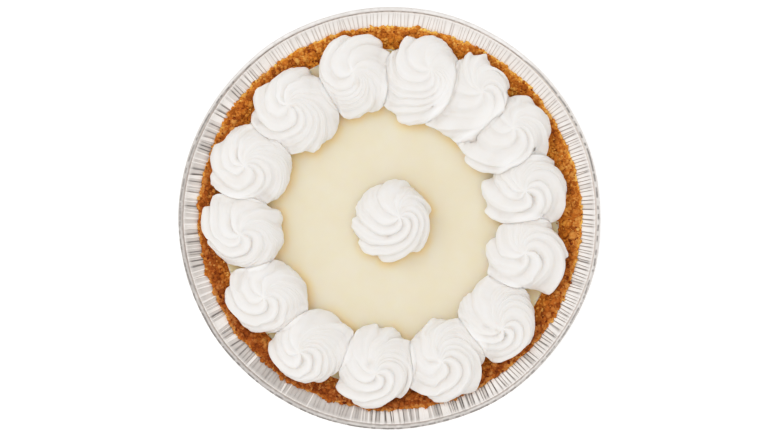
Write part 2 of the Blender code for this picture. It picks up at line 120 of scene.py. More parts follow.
# In the order in which they were piped.
RING = (
    Rosette(
        184.2, 0.0803, 0.0216, 0.0195, -0.0008, -0.0030, 30,
        ((4, 2), (45, 3), (84, 8), (119, 3), (144, 4), (194, 9), (258, 5), (297, 4), (330, 2)),
        ((-18.8, -2.6), (-17.9, -4.4), (-19.1, -6.3), (-18.8, -8), (-15.5, -11.6), (-12.5, -14.6),
         (-9.5, -17.3), (-7.1, -19.2), (-2.3, -20), (1.9, -20.9), (4, -23.2), (11, -22.5), (17.5, -16.1),
         (19.6, -12.8), (21.4, -10.4), (22.3, -6.8), (22.3, -3.8), (21.2, 1.6), (21.7, 4), (21.6, 7),
         (20.8, 9.4), (18.7, 10.6), (16.3, 11.2), (13.9, 12.4), (6, 19.5), (-4, 20), (-11.3, 19),
         (-13.7, 19), (-16.1, 17.8), (-16.5, 15.4), (-16.7, 12.3), (-20.6, 11.6), (-21.8, 9.4),
         (-22.4, 6.4), (-21.8, 3.4), (-20.6, 0.4)),
    ),
    Rosette(
        212.2, 0.0793, 0.0222, 0.0195, -0.0010, -0.0004, 40,
        ((-5, 4), (52, 5), (92, 5), (128, 4), (163, 7), (216, 8), (262, 4), (295, 5), (328, 4)),
        ((-21.9, -3), (-20.5, -6), (-18.1, -9), (-15.8, -11.4), (-14.2, -14.4), (-11.8, -16.9),
         (-8.8, -19), (-5.8, -19.8), (-2.5, -19), (3.2, -19.8), (12, -17.5), (19, -12), (23, -6.9),
         (22.7, -2.4), (22.7, 0.6), (22.4, 3.6), (21.5, 6.9), (19.4, 10.2), (16.7, 12.9), (14, 15.3),
         (11, 17.1), (8, 18.9), (5, 19.8), (0.8, 19.8), (-2.8, 18.9), (-7, 17.1), (-10.6, 15.3),
         (-13.9, 15.1), (-16.6, 14.1), (-18.7, 12.5), (-19.6, 9.6), (-19.7, 6.1), (-21.7, 3.9),
         (-22.3, 0.6)),
    ),
    Rosette(
        237.4, 0.0820, 0.0221, 0.0195, -0.0048, -0.0034, 60,
        ((-20, 4), (15, 3), (38, 2), (92, 5), (130, 5), (167, 9), (208, 9), (245, 8), (273, 7), (304, 5)),
        ((-22.1, -0.5), (-21.7, -3.2), (-20.2, -6.2), (-17.9, -9.5), (-16.9, -11.5), (-14.8, -14),
         (-12.1, -16.3), (-7.3, -19), (-3.7, -20), (0.8, -19.3), (4.1, -20), (7.1, -19.9), (9.5, -18.4),
         (10.7, -16.9), (13.7, -16.1), (16, -14), (23, -7), (24, 1.5), (24.5, 7.7), (22.4, 10),
         (19.7, 11.8), (17.2, 13.6), (16.1, 15.4), (14.3, 16.9), (11.3, 18.5), (7.7, 19.7), (4.1, 20),
         (0.2, 19.3), (-3.1, 18.1), (-6.1, 16.3), (-10.3, 13.9), (-13.9, 11.2), (-16.9, 7.6), (-18.7, 4.6),
         (-19.6, 3.5), (-21.8, 1.6)),
    ),
    Rosette(
        263.4, 0.0806, 0.0222, 0.0200, 0.0018, -0.0038, 80,
        ((8, 5), (45, 1), (80, 2), (120, 4), (160, 8), (200, 8), (236, 7), (280, 8), (303, 5), (340, 6)),
        ((-18.4, -1.9), (-18, -6.4), (-19.5, -9.1), (-20.3, -11.5), (-19.6, -13.4), (-17.1, -15.2),
         (-13.5, -16.1), (-11.8, -17), (-11.4, -19.1), (-9.9, -20.8), (-6.9, -22.3), (-2.7, -23),
         (1.5, -22.9), (5.1, -21.7), (8.1, -19.6), (11.4, -17.3), (14.7, -17.9), (17.4, -16.1),
         (18.9, -13.3), (19.8, -11.6), (23, -4), (23, 6), (20.4, 13.6), (18.3, 14), (15.6, 15.4),
         (14.6, 18.2), (12.9, 19.7), (10.5, 21.1), (8.1, 21.2), (5.7, 20.3), (3.4, 20.5), (2.4, 22.6),
         (-2.1, 22.3), (-5.7, 20.9), (-8.7, 19.1), (-10.2, 17), (-13.5, 12.8), (-15.9, 9.5), (-17.2, 5.9),
         (-18, 1.7)),
    ),
    Rosette(
        291, 0.0826, 0.0223, 0.0195, -0.0018, 0.0000, 100,
        ((18, 6), (52, 2), (88, 2), (128, 2), (170, 3), (203, 8), (241, 8), (275, 6), (300, 5), (350, 6)),
        ((-19.6, -5.8), (-19.3, -10.6), (-19.1, -14.5), (-17.8, -15.8), (-15, -17), (-10, -18.2),
         (-8.2, -20.8), (-5.8, -22.4), (-3.1, -23.2), (-0.4, -22.9), (2.6, -22), (5.6, -20.2),
         (9.2, -18.5), (11.6, -18.5), (14.6, -18.1), (17, -16.6), (18.1, -13.6), (19, -9.4), (19.3, -3.4),
         (21.5, -0.8), (22, 2), (23, 12), (16, 19), (7.7, 23), (4.4, 22), (0.8, 21.7), (-3.7, 22.3),
         (-5.6, 23), (-7.9, 21.8), (-10.6, 18.8), (-13.6, 15.8), (-16.6, 12.5), (-18.7, 10.3), (-19.6, 5),
         (-19.7, 0)),
    ),
    Rosette(
        316.9, 0.0793, 0.0227, 0.0200, 0.0026, -0.0056, 105,
        ((22, 5), (45, 3), (75, 4), (133, 2), (162, 7), (192, 8), (228, 8), (257, 6), (312, 5), (352, 5)),
        ((-20.3, -1.2), (-18.4, -5.4), (-16, -10.2), (-13, -14.4), (-9.4, -18.3), (-4.9, -21.6),
         (-2.5, -23.9), (-0.7, -24.4), (2, -24), (5, -22.5), (8, -20.3), (11.6, -19.2), (14.6, -17.1),
         (17, -14.4), (19, -11.1), (20, -7.8), (19.8, -2.7), (20.7, 0), (20.7, 3.6), (20, 6), (18.7, 7.5),
         (18, 12), (11, 19), (2, 22.5), (-4.6, 23.4), (-7, 21.9), (-9.4, 19.5), (-11.8, 16.8),
         (-13.7, 14.2), (-16, 13.3), (-18.1, 11.1), (-19.6, 8.4), (-20.5, 5.4), (-20.8, 2.4)),
    ),
    Rosette(
        345.2, 0.0765, 0.0224, 0.0200, -0.0010, 0.0006, 100,
        ((35, 3), (65, 4), (90, 4), (118, 4), (153, 6), (195, 7), (233, 7), (291, 6), (344, 5)),
        ((-21.7, -1.3), (-20.5, -5.3), (-21.1, -7.9), (-21.2, -10.7), (-17.8, -14.5), (-12.4, -17),
         (-5.6, -17.9), (0.8, -18.5), (4.4, -19.6), (8.3, -20.8), (12.2, -22.4), (15.2, -19.9),
         (17.9, -16.6), (19.4, -12.1), (19.7, -8.5), (19.3, -5.8), (20.9, -3.4), (22.9, -1.4), (21.8, 1.7),
         (20.3, 5.3), (18.8, 8.3), (17, 10.7), (14, 13.3), (13, 18), (5, 23), (-5, 22.5), (-13, 16.3),
         (-15.4, 14.8), (-16.1, 11.9), (-16.6, 9.1), (-20.2, 7.4), (-21.7, 5), (-22.2, 2)),
    ),
    Rosette(
        13, 0.0755, 0.0227, 0.0205, -0.0006, -0.0026, 90,
        ((10, 4), (34, 2), (75, 3), (100, 5), (130, 5), (162, 5), (200, 9), (237, 6), (268, 6), (336, 5)),
        ((-23.8, -3.3), (-22.6, -5.8), (-21, -8.4), (-21, -10.8), (-22.3, -12.4), (-22, -14.1),
         (-19.6, -16.5), (-16.6, -18.3), (-13.6, -19.5), (-11.8, -20.1), (-5.2, -20.2), (0, -20.2),
         (4.4, -20.1), (9.2, -19.5), (14, -19.5), (17.9, -18.3), (19.6, -14.7), (20.2, -11.7), (20.1, -9),
         (21.5, -8.1), (21.9, -5.7), (22.1, -2.1), (21.8, 2.1), (20.9, 5.6), (19.4, 8.1), (16.7, 10.2),
         (15.5, 11.7), (15.3, 13.8), (13.4, 15.6), (11, 16.8), (4, 20), (-5, 19), (-14, 14), (-17, 8),
         (-17.8, 5.2), (-19.6, 4.2), (-23.2, 3.6), (-24, 2.7), (-24.1, -0.3)),
    ),
    Rosette(
        35.1, 0.0781, 0.0226, 0.0200, 0.0028, 0.0036, 40,
        ((45, 3), (87, 3), (122, 3), (160, 4), (205, 8), (238, 6), (275, 5), (312, 4), (352, 4)),
        ((-26.4, -5.5), (-24.6, -7.9), (-22.5, -10), (-23.5, -11.2), (-23.7, -12.7), (-22.5, -14.8),
         (-20.4, -16.9), (-17.4, -18.5), (-14.7, -19.3), (-10.8, -19), (-5.4, -18.4), (0, -17.2),
         (5.4, -15.7), (11.4, -14.5), (17.4, -12.7), (20.7, -10.9), (21.2, -9.7), (21.6, -6.7),
         (21.3, -3.1), (22.5, -1.6), (23.2, 1.1), (23.2, 4.1), (22.6, 7.4), (21.1, 10.7), (18.3, 13.5),
         (15.5, 15), (14.9, 16.7), (13.8, 19.1), (11.4, 21.2), (9, 21.6), (4.8, 21.2), (1.2, 20.6),
         (-1.3, 23.3), (-10, 18.5), (-18, 11), (-21, 3), (-28, -4.6)),
    ),
    Rosette(
        57.2, 0.0799, 0.0224, 0.0205, 0.0062, 0.0008, 85,
        ((3, 2), (54, 3), (84, 3), (103, 3), (140, 4), (180, 4), (222, 6), (262, 6), (300, 4), (332, 3)),
        ((-24.4, -16.7), (-19, -18.2), (-16, -20), (-13, -22.4), (-10, -24.2), (-7.6, -26.3),
         (-5.8, -28.1), (-3, -25.5), (2.5, -22.5), (10.5, -18), (17.5, -9.5), (19.1, 1), (21.8, 3.8),
         (19.7, 6.9), (17, 9.3), (14, 12.3), (11, 16), (9.5, 19), (8.9, 21.7), (7.4, 21.5), (4.7, 20.8),
         (2, 21.1), (1.1, 22.5), (-0.1, 22.9), (-1.9, 21.3), (-3.1, 19.3), (-5.5, 18.6), (-15, 13),
         (-20, 3), (-20, -8)),
    ),
    Rosette(
        77.7, 0.0774, 0.0226, 0.0200, 0.0056, 0.0042, 10,
        ((28, 3), (60, 3), (95, 4), (127, 4), (155, 6), (180, 7), (208, 8), (235, 6), (268, 3), (330, 3)),
        ((-21, -3), (-19.6, -15.1), (-17.5, -16.7), (-15.1, -18.1), (-13, -19.5), (-12.5, -22.2),
         (-9.7, -24.5), (-6.1, -25.4), (-0.7, -25), (4.1, -24), (7.7, -19.8), (14, -15), (19.5, -6),
         (20.5, 3), (20.3, 10.4), (19, 12.5), (17.3, 15.3), (14.9, 18.1), (11.9, 20.9), (8.3, 23),
         (4.7, 23.7), (1.7, 23.1), (-0.7, 22), (-2.8, 22), (-4.9, 22.7), (-7, 23.3), (-8.9, 21.7),
         (-10.4, 18.9), (-11.3, 16.1), (-15.1, 14.9), (-20, 7)),
    ),
    Rosette(
        104.4, 0.0795, 0.0222, 0.0190, -0.0002, 0.0020, -25,
        ((10, 4), (45, 3), (92, 5), (138, 5), (160, 5), (190, 6), (217, 6), (248, 8), (290, 4), (330, 3)),
        ((-17.5, -8), (-13, -15), (-7.6, -19.8), (-5.2, -22.7), (-2.5, -23.2), (0.5, -22.8), (3.5, -21.9),
         (6.2, -20.1), (8, -19.2), (10.7, -19.5), (13.1, -18.8), (16.1, -16.4), (18.8, -10.5),
         (19.1, -3.3), (19.1, 3.9), (19.1, 8.7), (19.7, 12.8), (17.9, 14), (16, 15.1), (15.7, 17.7),
         (13.7, 20.1), (10.7, 21.9), (7.7, 22.5), (4.1, 22.3), (1.1, 21.6), (-0.8, 20.9), (-2.5, 21.7),
         (-4, 22.2), (-6.7, 21.7), (-9.7, 20.4), (-12.1, 18.3), (-13.6, 15.9), (-14.2, 13.5),
         (-16.6, 11.7), (-17.8, 9), (-18.4, 5.7), (-18.4, 1.5)),
    ),
    Rosette(
        130.8, 0.0779, 0.0232, 0.0205, -0.0042, 0.0020, 25,
        ((20, 3), (65, 6), (95, 5), (135, 4), (178, 7), (210, 6), (250, 5), (284, 5), (315, 8), (355, 4)),
        ((-23.6, -1.9), (-24.6, -3.7), (-24.2, -7.3), (-22.1, -9.7), (-16, -15), (-9, -21), (-2.6, -24.6),
         (1.3, -23.8), (4.3, -22.9), (7.3, -23.3), (9.8, -23.5), (12.1, -21.8), (13.9, -19.3),
         (16.9, -16.9), (19.3, -15.6), (21.2, -13), (22.7, -10), (23.3, -6.4), (23.5, -3.4), (23, -0.7),
         (22.3, 2.9), (20.8, 7.1), (18.7, 11.3), (15.1, 15.5), (11.5, 17.6), (8.2, 19.1), (6.7, 22.3),
         (3.7, 22.8), (0.7, 22.6), (-2.3, 22.2), (-5.3, 21.4), (-8.3, 19.7), (-11.3, 17.3), (-13.7, 14.8),
         (-17.9, 13.4), (-20.6, 11.9), (-22.2, 9.8), (-22.9, 6.8), (-23, 4.1), (-22.1, 0.2)),
    ),
    Rosette(
        158.3, 0.0808, 0.0220, 0.0200, -0.0032, -0.0014, 50,
        ((10, 3), (50, 3), (85, 8), (112, 5), (140, 4), (191, 7), (220, 7), (265, 6), (305, 4), (350, 4)),
        ((-22, -1.1), (-21.1, -3.9), (-22.1, -6.2), (-22.4, -8.6), (-22, -11.6), (-19.7, -14.1),
         (-17.3, -15.6), (-15.7, -16.5), (-12.5, -18.1), (-8.3, -18.4), (-4.1, -19.4), (0.7, -20.9),
         (4.6, -21.5), (8.5, -22.1), (10.6, -20.9), (13.6, -19.7), (16.3, -17.1), (18.2, -14.3),
         (20, -10.7), (21.2, -7.1), (22, -3.2), (22.1, -0.2), (21.8, 2.5), (21.2, 4.7), (19.3, 9.4),
         (16.3, 13), (12.7, 15.4), (7.9, 16.9), (2.8, 18.4), (0.4, 20.9), (-2.9, 20.9), (-5.9, 20.1),
         (-8.9, 18.7), (-11.3, 16.7), (-13.7, 14.3), (-15.4, 12.3), (-17.6, 11.1), (-19.7, 10.2),
         (-21.2, 8.3), (-22.1, 5.2), (-22.4, 2.2)),
    ),
)
CENTRE = Rosette(
    270, 0.0013, 0.0220, 0.0205, 0.0052, 0.0018, 60,
    ((1, 4), (30, 3), (58, 3), (101, 6), (143, 6), (172, 7), (210, 8), (250, 8), (300, 5), (330, 4)),
    ((-20.9, -3.4), (-19, -7), (-16.6, -9.7), (-17.5, -11.8), (-16.3, -14.8), (-13.6, -17.8), (-10, -18.7),
     (-6.9, -18.7), (-4.9, -22), (-3.4, -23), (2, -22.4), (5.6, -20.2), (9.8, -17), (12.8, -17),
     (16.4, -16.6), (17.6, -15.1), (20, -10.6), (20.2, -5.8), (20, 0.3), (22.6, 5.2), (20, 9.2),
     (17.6, 12.8), (14, 16.1), (11.3, 17.9), (9.8, 20.6), (7.4, 22), (3.2, 22.3), (-1, 21.7), (-3.7, 19.7),
     (-7.6, 18.8), (-12.4, 16.4), (-16, 12.2), (-18.5, 7.4), (-18.1, 2.3), (-19.9, 1.4), (-20.9, 0.2)),
)

# Hollows that the nozzle left, by rosette: each one's place beside the middle, half its width and half its
# length, the way it runs in degrees, and its depth, with all lengths in millimetres.
DENTS = {
    "04": ((-1.6, 1.6, 1.8, 2.4, 45, 1.4),),
    "05": ((-7.0, -0.4, 1.6, 3.0, 175, 1.4),),
    "06": ((-5.6, -4.6, 1.6, 2.6, 150, 1.3), (0.2, -7.0, 1.4, 1.8, 120, 1.3)),
    "07": ((-3.2, -4.2, 2.0, 2.8, 30, 1.5),),
    "08": ((-4.6, -5.0, 1.7, 2.8, 35, 1.3),),
    "12": ((2.6, -4.2, 1.6, 2.2, 60, 1.2),),
    "13": ((-2.0, 0.8, 1.2, 1.8, 20, 1.0),),
    "centre": ((-1.0, -8.6, 1.5, 2.2, 30, 1.4),),
}

# Places where a valley is a slit, by rosette: the place beside the middle and the slit's half length in
# millimetres, and how many times deeper the valley is there.
SLITS = {
    "01": ((-5.0, 4.4, 4.0, 1.5),),
    "06": ((5.0, -9.8, 3.0, 1.4),),
    "07": ((9.0, -3.2, 3.0, 1.4),),
    "08": ((4.6, -6.2, 3.4, 1.3),),
    "09": ((4.2, -2.2, 3.0, 1.4),),
    "12": ((9.6, -9.2, 3.4, 1.4),),
    "13": ((-8.6, 6.0, 3.4, 1.5), (12.2, -4.2, 3.4, 1.5)),
    "14": ((-6.6, 4.6, 3.0, 1.7),),
}


# ---- Numbers ----

CELL_PRIMES = np.array([73856093, 19349663, 83492791], np.int64)
CUBE_CORNERS = np.array(list(itertools.product((0, 1), repeat=3)))
NEIGHBOUR_CELLS = np.array(list(itertools.product((-1, 0, 1), repeat=3)))


def ease(share):
    """A smooth step: three times the square less twice the cube, of a share held from 0 to 1."""
    share = np.clip(share, 0.0, 1.0)
    return share * share * (3 - 2 * share)


def mixed(low, high, share):
    """A value between two others, in proportion."""
    return low + (high - low) * share


def heading(angle):
    """Unit vector in plan at an angle in radians."""
    return np.stack([np.cos(angle), np.sin(angle)], axis=-1)


def bearing_of(away):
    """Angle in radians of each vector in plan."""
    return np.arctan2(away[..., 1], away[..., 0])


def hashed(cells, salt):
    """A repeatable number from 0 to 1 for each cell: its coordinates times primes, summed and then mixed."""
    key = ((cells.astype(np.int64) * CELL_PRIMES).sum(axis=-1) + salt * 1000003).astype(np.uint64)
    for shift, factor in ((31, 0x9E3779B97F4A7C15), (29, 0xBF58476D1CE4E5B9)):
        key = (key ^ (key >> np.uint64(shift))) * np.uint64(factor)
    return (key >> np.uint64(11)).astype(np.float64) / 2.0**53


def soft_noise(points, size, salt):
    """Smooth noise from 0 to 1: hashed numbers at the corners of cubes of this size, blended by ease.

    The salt tells one use of it from another.
    """
    scaled = points / size
    corner = np.floor(scaled).astype(np.int64)
    share = ease(scaled - corner)
    total = np.zeros(points.shape[:-1])
    for offset in CUBE_CORNERS:
        weight = np.prod(np.where(offset == 1, share, 1 - share), axis=-1)
        total += weight * hashed(corner + offset, salt)
    return total


def swell(points, size, height, salt):
    """Smooth noise about zero, which swings by this height in all."""
    return (soft_noise(points, size, salt) - 0.5) * height


def bell(away):
    """The exponential of minus the square of a distance in fades."""
    return np.exp(-np.square(away))


def grains(points, size, salt):
    """Cells round scattered seeds, one seed in each cube of this size.

    Gives the distance to the nearest seed and to the next one, in cube sizes, and the nearest seed's own
    number from 0 to 1.
    """
    scaled = points / size
    home = np.floor(scaled).astype(np.int64)
    nearest = np.full(points.shape[:-1], 9.0)
    second = nearest.copy()
    number = np.zeros_like(nearest)
    for offset in NEIGHBOUR_CELLS:
        cell = home + offset
        seed = cell + np.stack([hashed(cell, salt + axis) for axis in (1, 2, 3)], axis=-1)
        distance = np.linalg.norm(scaled - seed, axis=-1)
        second = np.where(distance < nearest, nearest, np.minimum(second, distance))
        number = np.where(distance < nearest, hashed(cell, salt), number)
        nearest = np.minimum(nearest, distance)
    return nearest, second, number


# ---- Meshes ----


def mesh_piece(name, grid, finish, slot, replaced=(), sharp=None, **values):
    """A smooth piece from points, quads and triangles, riding on the pie's one body.

    Edges that turn by more than the sharp angle, in degrees, stay sharp. Each of the values is a number for
    each point, kept under its name for the finish to read.
    """
    points, quads, triangles = grid
    mesh = bpy.data.meshes.new(name)
    corners = np.concatenate([np.ravel(quads), np.ravel(triangles)]).astype(np.int32)
    quad_starts = np.arange(len(quads)) * 4
    triangle_starts = 4 * len(quads) + np.arange(len(triangles)) * 3
    starts = np.concatenate([quad_starts, triangle_starts]).astype(np.int32)
    mesh.vertices.add(len(points))
    mesh.vertices.foreach_set("co", np.ravel(points).astype(np.float32))
    mesh.loops.add(len(corners))
    mesh.loops.foreach_set("vertex_index", corners)
    mesh.polygons.add(len(starts))
    mesh.polygons.foreach_set("loop_start", starts)
    mesh.update(calc_edges=True)
    mesh.materials.append(finish)
    mesh.shade_smooth()
    if sharp is not None:
        mesh.set_sharp_from_angle(angle=math.radians(sharp))
    for key, numbers in values.items():
        attribute = mesh.attributes.new(key, "FLOAT", "POINT")
        attribute.data.foreach_set("value", np.ravel(numbers).astype(np.float32))
    thing = bpy.data.objects.new(name, mesh)
    bpy.context.scene.collection.objects.link(thing)
    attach(thing, "root")
    if replaced:
        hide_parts(*replaced)


def closed_grid(rings, first_pole, last_pole):
    """Points and faces of a closed surface: rings of points, and a pole beyond the first and the last.

    Seen from above, each ring runs anticlockwise, and the rings run out below and back above.
    """
    count, columns, _ = rings.shape
    points = np.concatenate([[first_pole], rings.reshape(-1, 3), [last_pole]])
    here = np.arange(columns)
    after = np.roll(here, -1)
    low = 1 + np.arange(count - 1)[:, None] * columns
    quads = np.stack([low + here, low + after, low + columns + after, low + columns + here], axis=-1)
    last = 1 + (count - 1) * columns
    first_fan = np.stack([np.zeros_like(here), 1 + after, 1 + here], axis=-1)
    last_fan = np.stack([np.full_like(here, len(points) - 1), last + here, last + after], axis=-1)
    return points, quads.reshape(-1, 4), np.concatenate([first_fan, last_fan])


def around(columns):
    """Bearings of evenly spaced columns, in radians."""
    return np.arange(columns) * (2 * math.pi / columns)


def turned(radii, heights, bearings):
    """Points at a radius, a height and a bearing, as rings of columns."""
    radii, heights, bearings = np.broadcast_arrays(radii, heights, bearings)
    return np.stack([radii * np.cos(bearings), radii * np.sin(bearings), heights], axis=-1)


# ---- Finishes ----


class Nodes:
    """A node tree, and short ways to add to it."""

    def __init__(self, tree):
        self.tree = tree

    def add(self, kind, **settings):
        """A new node, with these settings on it."""
        node = self.tree.nodes.new(kind)
        for key, value in settings.items():
            setattr(node, key, value)
        return node

    def link(self, source, target):
        """Joins an output to an input."""
        self.tree.links.new(source, target)

    def fill(self, socket, value):
        """Sets an input to a value, or joins an output to it."""
        if isinstance(value, bpy.types.NodeSocket):
            self.link(value, socket)
        else:
            socket.default_value = value

    def maths(self, operation, *values):
        """The result of a sum on numbers, or on the outputs of other nodes."""
        node = self.add("ShaderNodeMath", operation=operation)
        for socket, value in zip(node.inputs, values):
            self.fill(socket, value)
        return node.outputs["Value"]


class Finish(Nodes):
    """A material's node tree, read on the piece's own coordinates."""

    def __init__(self, name, roughness):
        self.material = bpy.data.materials.new(name)
        self.material.use_nodes = True
        super().__init__(self.material.node_tree)
        self.shader = self.tree.nodes["Principled BSDF"]
        self.shader.inputs["Roughness"].default_value = roughness
        self.place = self.add("ShaderNodeTexCoord").outputs["Object"]

    def noise(self, size, detail=2.0, roughness=0.5):
        """Noise from 0 to 1 whose features are about this size."""
        node = self.add("ShaderNodeTexNoise")
        node.inputs["Scale"].default_value = 1.0 / size
        node.inputs["Detail"].default_value = detail
        node.inputs["Roughness"].default_value = roughness
        self.link(self.place, node.inputs["Vector"])
        return node.outputs["Fac"]

    def value(self, name):
        """The number that a piece keeps at each of its points."""
        return self.add("ShaderNodeAttribute", attribute_name=name).outputs["Fac"]

    def ranged(self, source, low, high, to_low, to_high):
        """A number carried from one range to another, and held inside it."""
        node = self.add("ShaderNodeMapRange")
        self.link(source, node.inputs["Value"])
        for key, number in zip(("From Min", "From Max", "To Min", "To Max"), (low, high, to_low, to_high)):
            node.inputs[key].default_value = number
        return node.outputs["Result"]

    def ramp(self, factor, stops):
        """Colours along a number from 0 to 1, from pairs of a place and a colour."""
        node = self.add("ShaderNodeValToRGB")
        ramp = node.color_ramp
        while len(ramp.elements) < len(stops):
            ramp.elements.new(1.0)
        for element, (place, colour) in zip(ramp.elements, stops):
            element.position = place
            element.color = (*colour, 1.0)
        self.link(factor, node.inputs["Fac"])
        return node.outputs["Color"]

    def blend(self, under, over, share):
        """One colour laid over another by a number from 0 to 1."""
        node = self.add("ShaderNodeMix", data_type="RGBA")
        self.link(share, node.inputs["Factor"])
        self.link(under, node.inputs["A"])
        node.inputs["B"].default_value = (*over, 1.0)
        return node.outputs["Result"]

    def shaded(self, colour, factor):
        """A colour made redder and darker, or yellower and lighter, by a number below or above one."""
        node = self.add("ShaderNodeMix", data_type="RGBA", blend_type="MULTIPLY")
        node.inputs["Factor"].default_value = 1.0
        self.link(colour, node.inputs["A"])
        tint = self.add("ShaderNodeCombineColor")
        for channel, power in (("Red", 1.0), ("Green", 1.6), ("Blue", 1.2)):
            self.link(self.maths("POWER", factor, power), tint.inputs[channel])
        self.link(tint.outputs["Color"], node.inputs["B"])
        return node.outputs["Result"]

    def bump(self, height, distance, below=None):
        """Relief from a number, this deep."""
        node = self.add("ShaderNodeBump")
        node.inputs["Distance"].default_value = distance
        self.link(height, node.inputs["Height"])
        if below is not None:
            self.link(below, node.inputs["Normal"])
        return node.outputs["Normal"]

    def wear(self, **inputs):
        """Sets or links the shader's inputs, and gives the material."""
        for key, value in inputs.items():
            self.fill(self.shader.inputs[key.replace("_", " ")], value)
        return self.material


def foil_finish(tin):
    """Thin bright aluminium with soft crumples: painted brightness and metalness are kept at its points."""
    finish = Finish("bright_foil", tin.roughness)
    crumples = finish.bump(finish.noise(1.1 * MM, 2.0, 0.5), 0.035 * MM)
    bright = tuple(tin.colour)
    # The dim colour is painted shade in the grooves and painted reflection on the dull lands.
    dull = tuple(DARK_LINE * channel * factor for channel, factor in zip(bright, (1.03, 0.98, 0.94)))
    tint = finish.ramp(finish.value("shade"), ((0.0, dull), (1.0, bright)))
    return finish.wear(Base_Color=tint, Normal=crumples, Metallic=finish.value("metal"))


def crumb_finish(name, dark, middle, light):
    """Toasted crumbs: each has its own shade, with darker specks and a rough skin."""
    finish = Finish(name, 0.8)
    specks = finish.ranged(finish.noise(1.0 * MM, 3.0, 0.6), 0.35, 0.7, -0.15, 0.15)
    shade = finish.maths("ADD", finish.value("shade"), specks)
    colour = finish.ramp(shade, ((0.05, dark), (0.5, middle), (0.95, light)))
    # The colour is shifted by the crust's tone at each place, which includes painted light inwards.
    toned = finish.shaded(colour, finish.value("bake"))
    skin = finish.bump(finish.noise(0.25 * MM, 3.0, 0.7), 0.07 * MM)
    return finish.wear(Base_Color=toned, Normal=skin, Specular_IOR_Level=0.12)


def filling_finish(filling):
    """Set custard: even and faintly mottled, with a soft skin that scatters light."""
    finish = Finish("lime_custard", filling.roughness)
    pale = tuple(filling.colour)
    deep = tuple(channel * factor for channel, factor in zip(pale, (0.985, 0.97, 0.93)))
    even = finish.ramp(finish.noise(14 * MM, 3.0), ((0.35, deep), (0.65, pale)))
    # Painted shadow: the warm colour is laid close beside the cream on its shaded side.
    colour = finish.blend(even, tuple(filling.warm), finish.value("warmth"))
    skin = finish.bump(finish.noise(2.2 * MM, 3.0, 0.6), 0.05 * MM)
    return finish.wear(
        Base_Color=colour, Normal=skin, Subsurface_Weight=0.8, Subsurface_Radius=(1.0, 0.75, 0.4),
        Subsurface_Scale=5 * MM, Specular_IOR_Level=0.3,
    )


def cream_finish(cream):
    """Whipped cream: nearly white, softly lit from within, with a skin of fine bubbles.

    It is painted lighter beside a seam: painted light that stands in for light from the neighbour coming
    through it.
    """
    finish = Finish("whipped_cream", cream.roughness)
    white = tuple(cream.colour)
    shade = tuple(channel * factor for channel, factor in zip(white, (0.99, 0.98, 0.965)))
    free = finish.ramp(finish.noise(5 * MM, 2.0), ((0.35, shade), (0.65, white)))
    # Painted light: the seam colour is laid over the cream beside each seam.
    colour = finish.blend(free, tuple(cream.seam), finish.ranged(finish.value("joined"), 0.35, 1.0, 0.0, 1.0))
    bubbles = finish.bump(finish.noise(0.45 * MM, 2.0, 0.6), 0.03 * MM)
    drag = finish.bump(finish.noise(1.8 * MM, 3.0, 0.55), 0.10 * MM, bubbles)
    return finish.wear(
        Base_Color=colour, Normal=drag, Subsurface_Weight=1.0, Subsurface_Radius=(0.8, 0.9, 1.0),
        Subsurface_Scale=9 * MM, Specular_IOR_Level=0.3,
    )


# ---- The tin ----

PLEAT_PHASES = np.array([-0.08, 0.08, 0.19, 0.5, 0.81])  # a groove's flat bottom, and a land's three points
GROOVE_POINTS = 2  # how many of them are the groove's
# Painted shade: the bottom of a groove is painted this dark.
DARK_LINE = 0.10  # how bright foil stays in the bottom of a groove
PLAIN_SHADE = 0.85  # how bright unfolded foil is
SIDEWAYS = 50  # how far the foil leans where nothing else says, in degrees
# The pleats at some bearings: how deep they are cut, how many lands are dull, how bright a dull land is, and
# how many grooves are bright.
# Dull lands and bright grooves are painted reflections; their shares change by bearing as light falls.
PLEAT_SIDES = np.array([
    (0, 0.9, 0.10, 0.76, 0.0), (25, 0.8, 0.08, 0.82, 0.0), (40, 0.38, 0.1, 0.92, 0.0),
    (125, 0.45, 0.2, 0.90, 0.1), (140, 0.9, 0.5, 0.76, 0.45), (165, 1.0, 0.75, 0.65, 0.7),
    (218, 1.0, 0.80, 0.62, 0.7), (228, 0.6, 0.95, 0.56, 0.1), (260, 0.6, 0.95, 0.56, 0.1),
    (266, 1.0, 0.65, 0.56, 0.55), (285, 0.9, 0.6, 0.60, 0.5), (292, 1.0, 0.14, 0.70, 0.1),
])
# The bead at some bearings: how far round it a dark line runs, how dark the line is, and how bright the bead.
# The dark line is painted shade, and the bead's brightness by bearing is painted reflection and shade.
BEAD_SIDES = np.array([
    (0, 96, 1.0, 0.74), (30, 98, 1.0, 0.72), (60, 140, 0.60, 0.74), (90, 165, 0.85, 0.60),
    (120, 164, 0.85, 0.60), (150, 94, 0.90, 0.53), (180, 76, 0.80, 0.48), (210, 60, 1.0, 0.46),
    (270, 62, 0.95, 0.46), (300, 64, 0.85, 0.50), (330, 84, 0.85, 0.60),
])
# Rings round the bead, in degrees from straight out, and down the wall's inner face, as shares of its length.
BEAD_TURNS = (-130, -90, -50, -12, 12, 32, 45, 56, 66, 76, 86, 96, 107, 118, 130, 143, 157, 172, 187)
INNER_SHARES = (1.0, 0.975, 0.95, 0.92, 0.885, 0.85, 0.815, 0.78, 0.745, 0.7, 0.45, 0.0)

Pleats = namedtuple("Pleats", "bearings folds bright slants")


def by_side(table, column, bearings):
    """One column of a table at each bearing, between its rows in proportion."""
    return np.interp(np.degrees(bearings), table[:, 0], table[:, column], period=360)


